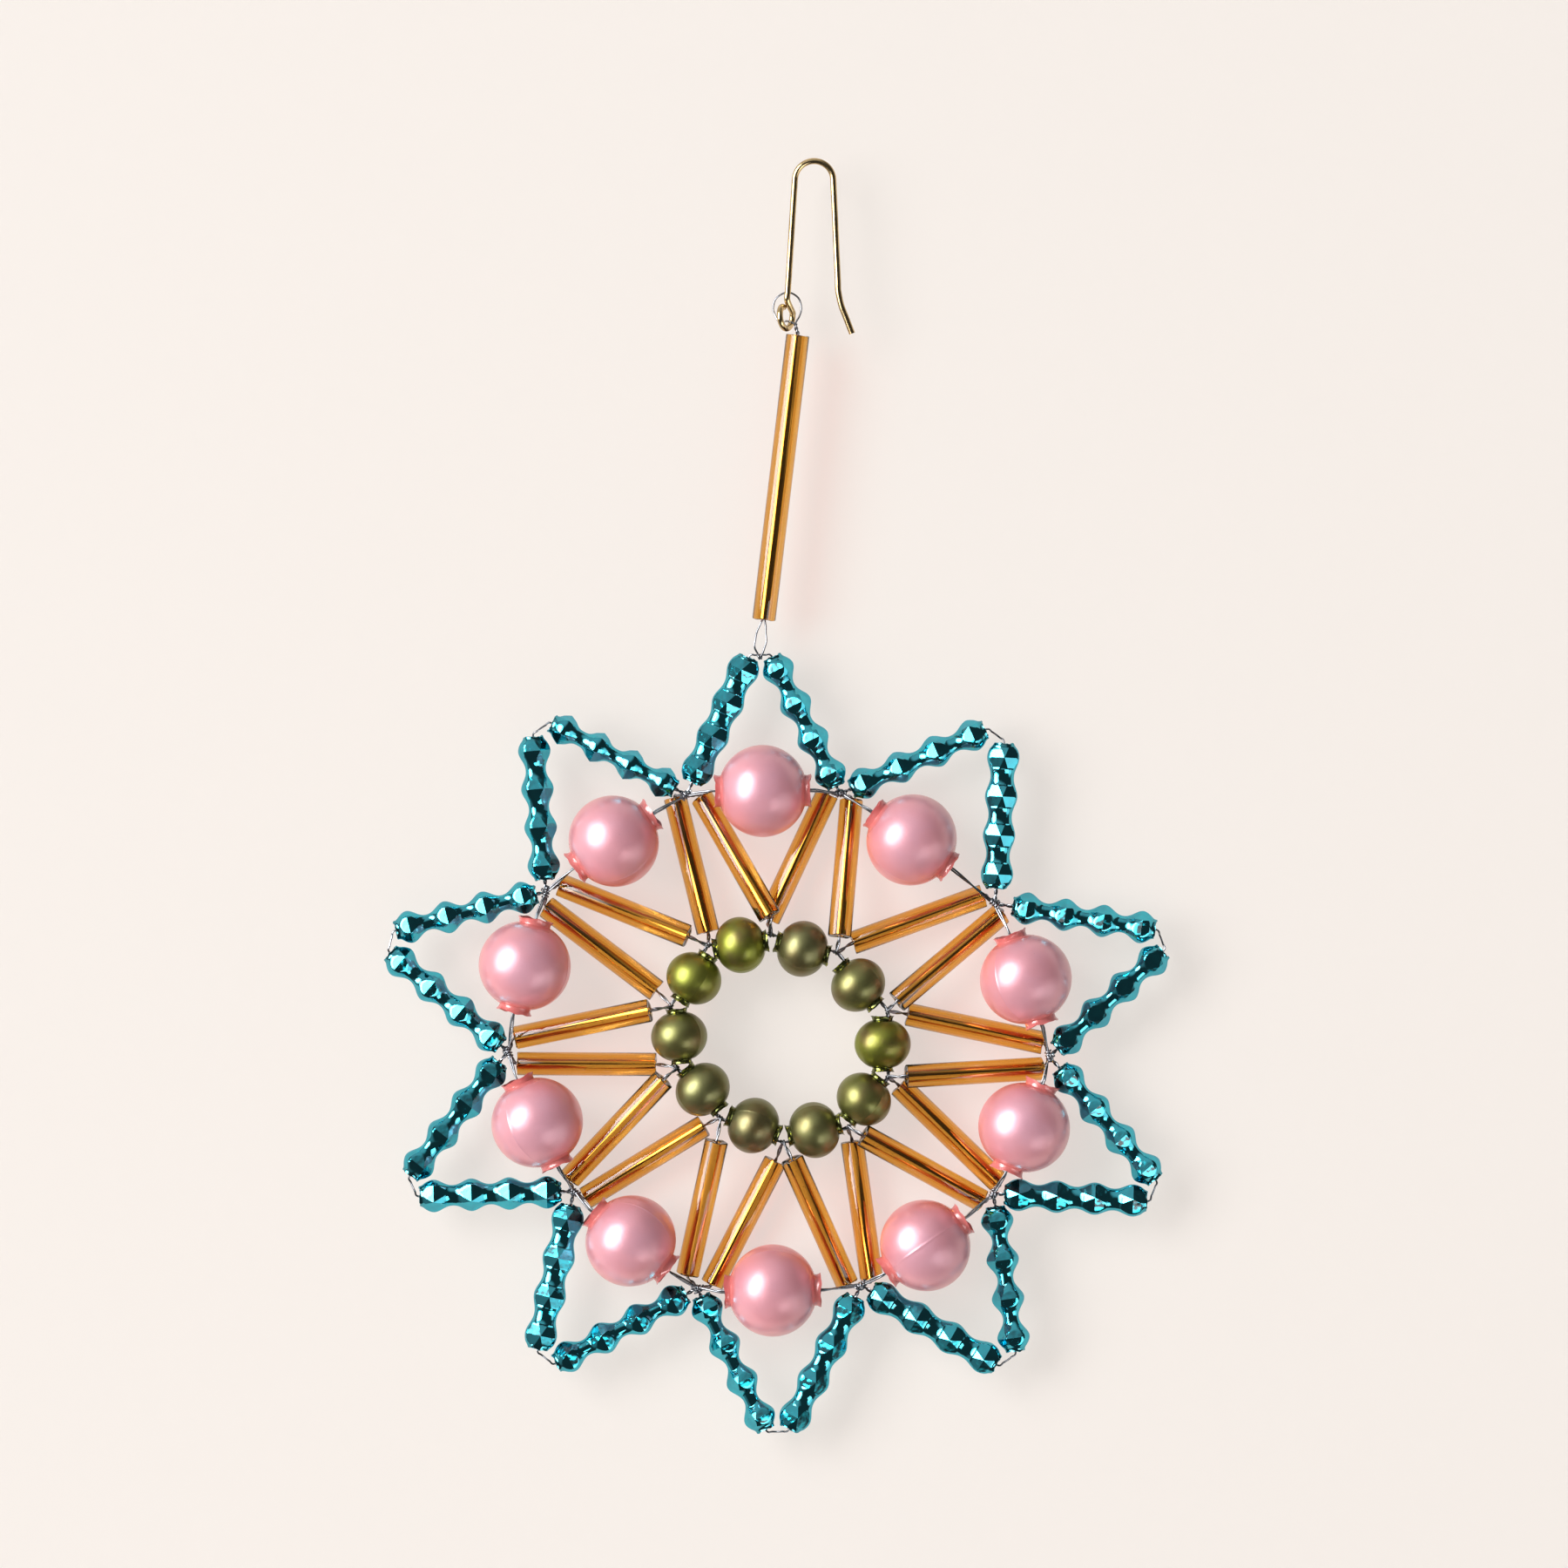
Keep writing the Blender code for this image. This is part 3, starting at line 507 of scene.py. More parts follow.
def mix_colour(tree, factor, first, second):
    """A colour between two others: the first where the factor is 0, and the second where it is 1."""
    inputs = {"Factor": factor, 6: first, 7: second}
    return add_node(tree, "ShaderNodeMix", inputs, data_type="RGBA").outputs[2]


def mix_value(tree, factor, first, second):
    """A value between two others, in the same way."""
    inputs = {"Value": factor, "To Min": first, "To Max": second}
    return add_node(tree, "ShaderNodeMapRange", inputs).outputs["Result"]


def new_group(name, inputs):
    """An empty shader node group with named inputs: vectors, colours, and values with their defaults."""
    tree = bpy.data.node_groups.new(name, "ShaderNodeTree")
    for label, default in inputs.items():
        kind = default if isinstance(default, str) else "Float"
        socket = tree.interface.new_socket(label, in_out="INPUT", socket_type="NodeSocket" + kind)
        if kind == "Float":
            socket.default_value = default
    return tree, tree.nodes.new("NodeGroupInput").outputs


def end_group(tree, **outputs):
    """Gives a group its outputs: named sockets, each a colour or a value."""
    out = tree.nodes.new("NodeGroupOutput")
    for label, value in outputs.items():
        kind = "NodeSocketColor" if label == "Color" else "NodeSocketFloat"
        tree.interface.new_socket(label, in_out="OUTPUT", socket_type=kind)
        tree.links.new(value, out.inputs[label])


def make_drift_group():
    """Colour that drifts between two shades in soft clouds, the way hand-dipped lacquer does."""
    tree, given = new_group("Lacquer Drift", {"Place": "Vector", "First": "Color", "Second": "Color",
                                              "Scale": 0.3, "Lean": 0.0})
    cloud = maths(tree, "ADD", noise(tree, given["Place"], given["Scale"], 3.0, 0.55), given["Lean"])
    cloud = soft_rise(tree, cloud, 0.32, 0.68)
    end_group(tree, Color=mix_colour(tree, cloud, given["First"], given["Second"]), Cloud=cloud)


def make_speck_group():
    """Small specks of uneven size: 1 inside a speck and 0 outside."""
    tree, given = new_group("Specks", {"Place": "Vector", "Scale": 4.0, "Amount": 0.2})
    cells = add_node(tree, "ShaderNodeTexVoronoi", {"Vector": given["Place"], "Scale": given["Scale"],
                                                    "Randomness": 1.0})
    size = maths(tree, "MULTIPLY", noise(tree, given["Place"], 1.1, 2.0), given["Amount"])
    end_group(tree, Mask=maths(tree, "LESS_THAN", cells.outputs["Distance"], size))


def make_blown_group():
    """Gentle unevenness of blown or moulded glass, with a finer grain on top, as a height."""
    tree, given = new_group("Blown Surface", {"Place": "Vector", "Swell": 0.25, "Grain": 6.0,
                                              "Grain Depth": 0.1})
    grain = noise(tree, given["Place"], given["Grain"], 4.0, 0.7)
    fine = maths(tree, "MULTIPLY", grain, given["Grain Depth"])
    end_group(tree, Height=maths(tree, "ADD", noise(tree, given["Place"], given["Swell"], 1.0), fine))


def use_group(tree, name, **inputs):
    """The outputs of a use of one of the shared groups."""
    return add_node(tree, "ShaderNodeGroup", inputs, node_tree=bpy.data.node_groups[name]).outputs


def drift(tree, place, scale, first, second, lean=0.0):
    """Colour that drifts between two shades, and how far it has drifted."""
    made = use_group(tree, "Lacquer Drift", Place=place, Scale=scale, First=first, Second=second,
                     Lean=lean)
    return made["Color"], made["Cloud"]


def specks(tree, place, scale, amount):
    """Mask of small specks."""
    return use_group(tree, "Specks", Place=place, Scale=scale, Amount=amount)["Mask"]


def bump(tree, shader, height, depth):
    """Turns a height into the shader's normal. The depth is in metres."""
    made = add_node(tree, "ShaderNodeBump", {"Height": height, "Strength": 1.0, "Distance": depth})
    set_inputs(tree, shader, {"Normal": made.outputs["Normal"]})


def blown_bump(tree, shader, place, swell, grain, grain_depth, depth):
    """Turns the unevenness of blown glass into the shader's normal."""
    made = use_group(tree, "Blown Surface", **{"Place": place, "Swell": swell, "Grain": grain,
                                               "Grain Depth": grain_depth})
    bump(tree, shader, made["Height"], depth)


def new_material(name, principled):
    """Node tree and Principled BSDF of a new material with these plain values."""
    material = bpy.data.materials.new(name)
    material.use_nodes = True
    tree = material.node_tree
    shader = tree.nodes["Principled BSDF"]
    set_inputs(tree, shader, principled)
    return tree, shader


def attribute(tree, name, output="Fac"):
    """One of the values that a piece carries at its points."""
    return add_node(tree, "ShaderNodeAttribute", attribute_name=name).outputs[output]


def new_finish(name, principled):
    """A new material, with each point's place on its piece."""
    tree, shader = new_material(name, principled)
    return tree, shader, attribute(tree, "place", "Vector")


def bare_share(tree, place, scale, unevenness, low, high):
    """How bare the glass is of its lacquer: nearness to a rim, made uneven by noise, from low to high."""
    uneven = maths(tree, "MULTIPLY_ADD", noise(tree, place, scale, 3.0), unevenness, -unevenness / 2)
    return soft_rise(tree, maths(tree, "ADD", attribute(tree, "rim"), uneven), low, high)


def make_teal(settings):
    """Mirrored teal lacquer under clear glass: darker and greener in clouds, thin and pale at the broken
    ends."""
    tree, shader, place = new_finish("teal_lacquer", {
        "Metallic": 1.0, "Specular Tint": (0.25, 0.70, 0.80), "Coat Weight": 0.42, "Coat Roughness": 0.03,
        "Coat IOR": 2.2})
    red, green, blue = settings.colour
    colour, cloud = drift(tree, place, 0.55, settings.colour, (red, green * 1.25, blue * 1.2))
    rim = attribute(tree, "rim")
    worn = maths(tree, "MULTIPLY", specks(tree, place, 3.2, 0.42), rim)
    pale = mix_colour(tree, worn, colour, (0.30, 0.46, 0.42))
    dark = mix_colour(tree, mix_value(tree, rim, 0.0, 0.35), pale, (0.005, 0.07, 0.07))
    set_inputs(tree, shader, {"Base Color": dark, "Roughness": mix_value(tree, cloud, 0.045, 0.10)})
    blown_bump(tree, shader, place, 0.9, 5.0, 0.05, 0.07 * MM)


def make_pearl(settings):
    """Satin pearl lacquer on coral glass: the glass shows at the necks and glows through near them.
    Towards the outline the colour turns to a painted glow and sheen, chosen by the angle of view.
    """
    lacquer = {"Roughness": 0.36, "Metallic": 0.14, "Coat Weight": 0.8}
    glass = {"Roughness": 0.10, "Metallic": 0.03, "Coat Weight": 0.2}
    tree, shader, place = new_finish("pink_pearl_lacquer", {
        "Metallic": lacquer["Metallic"], "IOR": 1.6, "Coat Weight": lacquer["Coat Weight"],
        "Coat Roughness": 0.34, "Coat IOR": 1.55, "Sheen Weight": 0.2, "Sheen Roughness": 0.3,
        "Sheen Tint": (1.0, 0.30, 0.26)})
    # Painted glow and sheen: by the angle of view the colour turns from the lacquer's own to the outline
    # colour, which stands in for light through the glass edge. The clouds carry some of it too.
    edge = add_node(tree, "ShaderNodeLayerWeight", {"Blend": 0.42}).outputs["Facing"]
    lacquer_with_painted_glow = mix_colour(tree, edge, settings.colour, settings.edge_colour)
    colour, _ = drift(tree, place, 0.14, lacquer_with_painted_glow, mix_colour(tree, 0.3, lacquer_with_painted_glow, settings.edge_colour))
    bare = bare_share(tree, place, 0.7, 0.5, 0.15, 0.85)
    colour = mix_colour(tree, bare, colour, settings.neck_colour)
    spotted = mix_colour(tree, specks(tree, place, 1.0, 0.05), colour, (0.28, 0.10, 0.11))
    set_inputs(tree, shader, {"Base Color": spotted})
    set_inputs(tree, shader, {key: mix_value(tree, bare, lacquer[key], glass[key]) for key in glass})
    blown_bump(tree, shader, place, 0.14, 2.2, 0.035, 0.5 * MM)


def make_olive(settings):
    """Satin metallic lacquer, greyer or yellower from bead to bead, over dark glass that shows at the
    necks, where bright specks are painted glints."""
    tree, shader, place = new_finish("olive_lacquer", {
        "Metallic": 0.85, "Coat Weight": 0.15, "Coat Roughness": 0.15})
    toned = mix_colour(tree, attribute(tree, "tone"), settings.colour, settings.bright_colour)
    colour, _ = drift(tree, place, 0.22, toned, (0.19, 0.14, 0.055), -0.1)
    bare = bare_share(tree, place, 1.4, 0.6, 0.3, 0.8)
    colour = mix_colour(tree, bare, colour, settings.neck_colour)
    # Painted glints: bright yellow specks in the colour of the bare necks stand in for highlights on the
    # dark glass.
    painted_glint = maths(tree, "MULTIPLY", specks(tree, place, 2.5, 0.5), bare)
    set_inputs(tree, shader, {"Base Color": mix_colour(tree, painted_glint, colour, (0.55, 0.55, 0.05)),
                              "Roughness": mix_value(tree, bare, 0.42, 0.08)})
    blown_bump(tree, shader, place, 0.25, 3.0, 0.04, 0.25 * MM)


def mix_with_clear(tree, factor, shader, tint=(1.0, 1.0, 1.0)):
    """The shader where the factor is 0, and nothing but a tint where it is 1."""
    clear = add_node(tree, "ShaderNodeBsdfTransparent", {"Color": tint})
    mix = add_node(tree, "ShaderNodeMixShader", {0: factor, 1: shader.outputs[0], 2: clear.outputs[0]})
    set_inputs(tree, tree.nodes["Material Output"], {"Surface": mix.outputs[0]})


def make_amber_glass(settings):
    """Clear amber glass, drawn into a tube: faint long streaks, and a tinted shadow. Rays towards a lamp,
    and those from a dull surface, pass it with that tint instead of being bent."""
    tree, shader, place = new_finish("amber_glass", {
        "Roughness": 0.02, "IOR": 1.5, "Specular IOR Level": 0.9, "Transmission Weight": 1.0})
    edge = add_node(tree, "ShaderNodeLayerWeight", {"Blend": 0.35}).outputs["Facing"]
    thick = mix_colour(tree, edge, settings.glass_colour, settings.edge_colour)
    colour, cloud = drift(tree, stretch(tree, place, (6.0, 6.0, 0.12)), 0.5, thick,
                          mix_colour(tree, 0.25, thick, settings.edge_colour))
    set_inputs(tree, shader, {"Base Color": colour})
    bump(tree, shader, cloud, 0.004 * MM)
    path = add_node(tree, "ShaderNodeLightPath").outputs
    passing = maths(tree, "MAXIMUM", path["Is Shadow Ray"], path["Is Diffuse Ray"])
    mix_with_clear(tree, passing, shader, (1.0, 0.36, 0.06))


def make_lining(settings):
    """Silver mirror on the bore's wall, tarnished in brown specks and long streaks."""
    tree, shader, place = new_finish("silver_lining", {"Metallic": 1.0, "Roughness": 0.1})
    colour, _ = drift(tree, stretch(tree, place, (1.5, 1.5, 0.35)), 0.8, settings.lining_colour,
                      (0.80, 0.68, 0.45))
    mask = specks(tree, place, 3.0, 0.24)
    set_inputs(tree, shader, {"Base Color": mix_colour(tree, mask, colour, (0.16, 0.09, 0.03)),
                              "Roughness": mix_value(tree, mask, 0.05, 0.35)})


def make_wire_metal(name, colour, dull_share, roughness, grain):
    """Drawn metal wire: fine lines along it, and dull patches where it was handled."""
    tree, shader, place = new_finish(name, {"Metallic": 1.0, "Roughness": roughness})
    shade, cloud = drift(tree, place, 0.45, colour, [c * dull_share for c in colour])
    set_inputs(tree, shader, {"Base Color": shade,
                              "Roughness": mix_value(tree, cloud, roughness * 0.8, roughness * 1.5)})
    blown_bump(tree, shader, stretch(tree, place, (4.0, 4.0, 0.2)), 1.0, 3.0, 0.5, grain)


def make_brass(settings):
    """Brass of the hook."""
    make_wire_metal("brass_wire", settings.hook_colour, 0.6, 0.16, 0.01 * MM)


def make_steel(settings):
    """Steel of the thin wires."""
    make_wire_metal("steel_wire_metal", settings.steel_colour, 0.45, 0.24, 0.006 * MM)


FINISHES = {
    "teal_lacquer": (make_teal, "star_rods"),
    "pink_pearl_lacquer": (make_pearl, "star_pearls"),
    "olive_lacquer": (make_olive, "star_greens"),
    "amber_glass": (make_amber_glass, "star_tubes"),
    "silver_lining": (make_lining, "star_tubes"),
    "brass_wire": (make_brass, "star_wires"),
    "steel_wire_metal": (make_steel, "star_wires"),
}


def finish_of(name):
    """The named material, made the first time that a piece asks for it."""
    if "Specks" not in bpy.data.node_groups:
        make_drift_group()
        make_speck_group()
        make_blown_group()
    if name not in bpy.data.materials:
        make, settings = FINISHES[name]
        make(getattr(bpy.context.scene, settings))
    return bpy.data.materials[name]


# Pieces


def in_plane(degrees, sign=1):
    """The way down in the star's plane, leant to the right by so many degrees, or to the left."""
    angle = math.radians(degrees)
    return np.array([sign * math.sin(angle), 0, -math.cos(angle)])


def hook_path(wire):
    """Centre line of the hook: once round the eye, up the shaft, over the bend and down to the tip. Two
    circles, straight lengths and one knee, joined by a smooth curve. The eye's wire also moves evenly
    sideways, so that its end lies beside the shaft's foot."""
    radius, eye = 2.45 * MM, 1.4 * MM
    shaft_length, leg_length = 16.3 * MM, 15.2 * MM
    lean, leg_lean, tip_lean, eye_turn = 3.6, 2.6, 21.0, 66.0
    loop_start, loop_end, loop_points = 72.0, 392.0, 24
    top = wire / 2 - radius
    shaft_angle, leg_angle = math.radians(lean), math.radians(leg_lean)
    shaft_top = np.array([-radius * math.cos(shaft_angle), 0, top + radius * math.sin(shaft_angle)])
    shaft_foot = shaft_top + shaft_length * in_plane(lean, -1)
    leg_top = np.array([radius * math.cos(leg_angle), 0, top + radius * math.sin(leg_angle)])
    knee = leg_top + leg_length * in_plane(leg_lean)
    turn = math.radians(eye_turn)
    across = np.array([math.cos(turn), math.sin(turn), 0])
    centre = shaft_foot - eye * UP
    angle = np.radians(np.linspace(loop_start, loop_end, loop_points))[:, None]
    loop = centre + eye * (np.cos(angle) * across + np.sin(angle) * UP)
    loop = loop + wire * np.linspace(-0.8, 0.3, loop_points)[:, None] * np.cross(across, UP)
    shaft = shaft_foot + np.linspace(0.05, 1, 14)[:, None] * (shaft_top - shaft_foot)
    angle = np.linspace(math.pi - shaft_angle, leg_angle, 20)[1:-1, None]
    bend = np.array([0, 0, top]) + radius * (np.cos(angle) * np.array([1.0, 0, 0]) + np.sin(angle) * UP)
    leg = leg_top + np.linspace(0, 0.94, 12)[:, None] * (knee - leg_top)
    tip = knee + in_plane(tip_lean) * np.array([1.0, 2.5, 4.8])[:, None] * MM
    return np.concatenate([loop, shaft, bend, leg, tip]), centre


class STAR_OT_hook(bpy.types.Operator):
    """Add the brass wire hook with its eye"""

    bl_idname = "star_ornament.hook"
    bl_label = "Hook"

    def execute(self, context):
        wire = context.scene.star_wires.hook_diameter
        path = spline(hook_path(wire)[0], 6)
        add_piece("hook_wire", [round_wire(path, wire, 20)], [finish_of("brass_wire")], "hook",
                  ["hook"])
        return {"FINISHED"}


def slack_ring(foot, eye, behind):
    """Path of the slack ring: given points from its foot through the hook's eye, up behind the shaft,
    whose depth follows from the two wires, and back."""
    drawn_behind = 0.54
    loop = eye + np.array([
        [0.58, -0.21, -0.63], [0.0, 0.0, -0.45], [-0.96, 0.3, -0.5], [-1.49, 0.49, 0.33],
        [-1.75, drawn_behind, 1.3], [-1.31, drawn_behind, 2.54], [0.09, drawn_behind, 3.25],
        [1.4, drawn_behind, 2.6], [1.84, 0.49, 1.37], [1.66, 0.27, 0.33], [1.3, 0.1, -0.35],
    ]) * MM * np.array([1, behind / (drawn_behind * MM), 1])
    return spline(np.concatenate([[foot], loop, [foot]]), 8)


def lens_strands(mouth, link, steel):
    """The two strands that open into the lens-shaped eye and meet at the star's tip, and the winding
    there: given distances out, with small kinks, at shares of the way down. The left one swings out
    wider."""
    down = unit(link - mouth)
    side = np.array([-down[2], 0, down[0]])
    share = np.array([-0.08, 0.02, 0.16, 0.33, 0.56, 0.76, 0.92, 1.02])
    out = np.array([0.0, 0.25, 0.5, 0.72, 0.9, 0.8, 0.4, 0.0])
    kink = np.array([0.0, 0.0, 0.02, -0.03, 0.04, -0.05, 0.02, 0.0])
    shells = []
    for sign, wide in ((-1, 0.95), (1, 0.62)):
        strand = mouth + share[:, None] * np.linalg.norm(link - mouth) * down
        strand = strand + ((sign * wide * out + kink) * MM)[:, None] * side
        strand = strand + FRONT * (sign * (0.02 + 0.3 * share**2) * MM)[:, None]
        shells.append(round_wire(spline(strand, 8), steel, NEAR_STRAND_SIDES))
    return shells + [coil(link + down * 0.05 * MM, [1.0, 0, 0.15], 0.27 * MM, 2.2, 0.55 * MM, steel,
                          sides=NEAR_STRAND_SIDES)]


class STAR_OT_hanger_wire(bpy.types.Operator):
    """Add the steel wire ring, its twist, the pair of strands down the long tube and the eye below it"""

    bl_idname = "star_ornament.hanger_wire"
    bl_label = "Hanger Wire"

    def execute(self, context):
        wires = context.scene.star_wires
        steel, hook = wires.steel_diameter, wires.hook_diameter
        eye = hook_path(hook)[1]
        clear, tucked_in = 0.13 * MM, 1.5 * MM
        behind = (hook + steel) / 2 + clear
        foot = eye + np.array([1.05, 0, -0.8]) * MM
        middle, axis, length = tube_line("hanger_tube")
        top, mouth = middle - axis * length / 2, middle + axis * length / 2
        twist = spline([foot + (foot - eye) * 0.05, (foot + top) / 2, top, top + axis * tucked_in], 16)
        stem = np.linspace(top + axis * 1.4 * MM, mouth - axis * 0.3 * MM, 40)
        shells = [round_wire(slack_ring(foot, eye, behind), steel, NEAR_STRAND_SIDES)]
        shells += twisted_pair(twist, steel, 2.5, sides=NEAR_STRAND_SIDES)
        shells += twisted_pair(stem, steel, 6, spread=1.1)
        shells += lens_strands(mouth, joint_line("star_swing")[0], steel)
        add_piece("hanger_ring_and_stem", shells, [finish_of("steel_wire_metal")], "hanger",
                  ["hanger_wire"])
        return {"FINISHED"}


def gold_tube(name, node, body, settings, seed):
    """A glass tube with a silver-lined bore: two closed profiles turned about one axis. The ends are cut
    a little unevenly, by the sum of two waves round the rim, and the cut is dished towards the bore."""
    middle, axis, length = tube_line(node)
    chance = np.random.default_rng(seed)
    columns = 40
    turn = even_turns(columns)
    outer, bore, half = settings.diameter / 2, settings.bore / 2, length / 2
    edge, lip_depth, throat_depth, lining_depth = 0.12 * MM, 0.05 * MM, 0.16 * MM, 0.3 * MM
    slow_wave, fast_wave, lining_wall = 0.10 * MM, 0.05 * MM, 0.12 * MM
    lip, throat = bore + 0.1 * MM, bore - 0.04 * MM
    radii = np.array([outer - edge, outer - edge * 0.3, outer, outer, outer, outer - edge * 0.3,
                      outer - edge, lip, throat, throat, throat, lip])
    heights = np.array([-half, -half + edge * 0.3, -half + edge, 0, half - edge, half - edge * 0.3, half,
                        half - lip_depth, half - throat_depth, 0, -half + throat_depth,
                        -half + lip_depth])
    far, near = [np.abs(slow_wave * np.sin(turn + any_turn(chance))
                        + fast_wave * np.sin(3 * turn + any_turn(chance))) for _ in range(2)]
    share = (heights / half)[:, None]
    cut = np.where(share > 0.5, -far, 0) + np.where(share < -0.5, near, 0)
    local = polar(radii[:, None], turn, heights[:, None] + cut)
    offset = any_place(chance, 50)
    glass = shell(set_on_axis(local, middle, axis, FRONT), grid_quads(len(radii), columns, True),
                  place=local / MM + offset)
    rows = 13
    reach = half - lining_depth
    radii = np.repeat([bore, bore - lining_wall], rows)
    heights = np.concatenate([np.linspace(-reach, reach, rows), np.linspace(reach, -reach, rows)])
    local = polar(radii[:, None], turn, heights[:, None])
    lining = shell(set_on_axis(local, middle, axis, FRONT), grid_quads(2 * rows, columns, True),
                   place=local / MM + offset, slot=1)
    add_piece(name, [glass, lining], [finish_of("amber_glass"), finish_of("silver_lining")], body,
              [node], tone=chance.uniform(0, 1), sharp=35.0)


class STAR_OT_gold_tubes(bpy.types.Operator):
    """Add the long gold tube of the hanger and the twenty gold tubes of the star"""

    bl_idname = "star_ornament.gold_tubes"
    bl_label = "Gold Tubes"

    def execute(self, context):
        settings = context.scene.star_tubes
        gold_tube("long_gold_tube", "hanger_tube", "hanger_tube", settings, 7)
        for i in range(2 * POINTS):
            gold_tube(f"gold_tube_{i + 1:02d}", f"gold_spoke_{i + 1:02d}", "star", settings, 20 + i)
        return {"FINISHED"}


def rod_columns(along, settings, side=19, front=6):
    """Angles round a rod of each column of points, for each distance along from the middle of a lobe.

    Half a rod is the stretch round one pyramid. Its columns are spread evenly
    between three breaks, so that two columns follow the two edges between the
    facets that face along the rod and those that face its sides. An edge
    leaves the pyramid's point sideways by a fixed share of the distance along.
    """
    share = (settings.end_slope - settings.side_tilt) / settings.side_slope
    near = np.clip(np.abs(along), 0.04 * MM, 1.5 * MM)
    edge = np.arctan2(share * near, settings.apex_diameter / 2 - settings.end_slope * near)
    breaks = np.stack([np.full_like(edge, -math.pi / 2), -edge, edge, np.full_like(edge, math.pi / 2)])
    place = np.concatenate([np.arange(side) / side, 1 + np.arange(front) / front,
                            2 + np.arange(side) / side])
    low = place.astype(int)
    part = (place - low)[:, None]
    half = (breaks[low] * (1 - part) + breaks[low + 1] * part).T
    return np.concatenate([half, half + math.pi], axis=1)


def rod_radius(along, around, pitch, neck, settings):
    """Radius of a rod at a distance along from the middle of a lobe and an angle round it.

    The body swells with a power of the cosine along the rod, lower at the
    sides than in front and behind, from an oval waist to a round lobe. Two low
    pyramids are cut into it, opposite each other: each of their six facets is
    a plane through the pyramid's point. The planes end before the neck, where
    they are lifted clear of the body. Body and facets meet in a narrow rounded
    edge, for which the lesser of the two is taken with its corner smoothed.
    """
    side_power, added_power, cover, least = 2.2, 0.8, 0.05 * MM, 0.05
    lift, lift_start, lift_end, soft = 0.8 * MM, 1.36 * MM, 1.75 * MM, 0.05 * MM
    apex, lobe = settings.apex_diameter / 2, settings.lobe_diameter / 2
    facing = np.cos(around) ** 2
    waist = neck / 2 * (1 - (1 - settings.waist_flatness) * facing)
    rise = np.abs(np.cos(math.pi * along / pitch)) ** (side_power + added_power * facing)
    body = waist + (lobe + (apex - lobe + cover) * facing - waist) * rise
    turn = (around + math.pi / 2) % math.pi - math.pi / 2
    cut = np.inf
    for across, down in ((0.0, settings.end_slope), (settings.side_slope, settings.side_tilt)):
        toward = np.cos(turn) + across * np.abs(np.sin(turn))
        cut = np.minimum(cut, (apex - down * np.abs(along)) / np.maximum(toward, least))
    cut = cut + lift * smooth_step(np.abs(along), lift_start, lift_end)
    blend = np.clip(0.5 + 0.5 * (cut - body) / soft, 0, 1)
    return cut * (1 - blend) + body * blend - soft * blend * (1 - blend)


def rod_length(pitch, settings):
    """Length of a rod over both broken ends."""
    return (settings.lobes - 1) * pitch + 2 * settings.end_length


def rod_shell(start, axis, pitch, facing, width, settings, chance):
    """A blown glass rod: rows of points along it at the radius of its lobes, with a row at each lobe's
    middle and neck. Each end is drawn in to a short tube with a jagged rim, and a plain bore runs back
    through it."""
    length = rod_length(pitch, settings)
    facet_rows, neck_rows, facet_end = 9, 12, 1.3 * MM
    half = np.concatenate([np.linspace(0, facet_end, facet_rows)[:-1],
                           np.linspace(facet_end, pitch / 2, neck_rows)])
    lobe_rows = np.concatenate([-half[:0:-1], half[:-1]])
    middles = settings.end_length + pitch * np.arange(settings.lobes)
    height = (middles[:, None] + lobe_rows).ravel()
    height = np.concatenate([height[height > 0.02 * MM], [length]])
    height = np.concatenate([[0.0], height[height <= length]])
    lobe = np.clip(np.round((height - settings.end_length) / pitch), 0, settings.lobes - 1)
    along = height - settings.end_length - lobe * pitch
    turn = rod_columns(along, settings)
    radius = rod_radius(along[:, None], turn, pitch, width, settings)
    tube, wall, lip_height, jag_height, jag_reach = 1.27 * MM, 0.3 * MM, 0.05 * MM, 0.13 * MM, 0.5 * MM
    drawn_in, bare = (-0.3 * MM, 0.9 * MM), (0.1 * MM, 1.0 * MM)
    from_end = np.minimum(height, length - height)[:, None]
    radius = tube + (radius - tube) * smooth_step(from_end, *drawn_in)
    jags = [jag_height * (np.abs(np.sin(1.5 * turn + any_turn(chance)))
                          + 0.7 * np.abs(np.sin(4 * turn + any_turn(chance)))) for _ in range(2)]
    height = height[:, None] + jags[0] * np.exp(-height / jag_reach)[:, None]
    height = height - jags[1] * np.exp(-(length - height) / jag_reach)
    bore = tube - wall
    edge = np.array([0.15, 0.6, 1.0])[:, None]
    lip = lip_height * np.sin(math.pi * edge)
    far = polar(radius[-1] + (bore - radius[-1]) * edge, turn[-1], height[-1] + lip)
    near = polar(radius[0] + (bore - radius[0]) * edge[::-1], turn[0], height[0] - lip[::-1])
    inside = polar(np.full((6, 1), bore), turn[-1], np.linspace(0.96, 0.04, 6)[:, None] * length)
    local = np.concatenate([polar(radius, turn, height), far, inside, near])
    rim = 1 - smooth_step(np.minimum(local[..., 2], length - local[..., 2]), *bare)
    return shell(set_on_axis(local, start, axis, facing), grid_quads(len(local), local.shape[1], True),
                 rim=rim, place=local / MM + any_place(chance))


def tip_wire(left, right):
    """Path of the wire over a star point, from inside one rod to inside the other: straight out of each
    end, and over the tip with a slight bend to the front and back. Each rod is given by its end and its
    direction."""
    (a, a_way), (b, b_way) = left, right
    inside, outside = 2.5 * MM, 0.05 * MM
    outward = unit((a + b) / 2 - STAR_CENTRE)
    return [a - a_way * inside, a + a_way * outside,
            a * 0.7 + b * 0.3 + outward * 0.2 * MM + FRONT * 0.12 * MM,
            a * 0.3 + b * 0.7 + outward * 0.2 * MM - FRONT * 0.1 * MM,
            b + b_way * outside, b - b_way * inside]


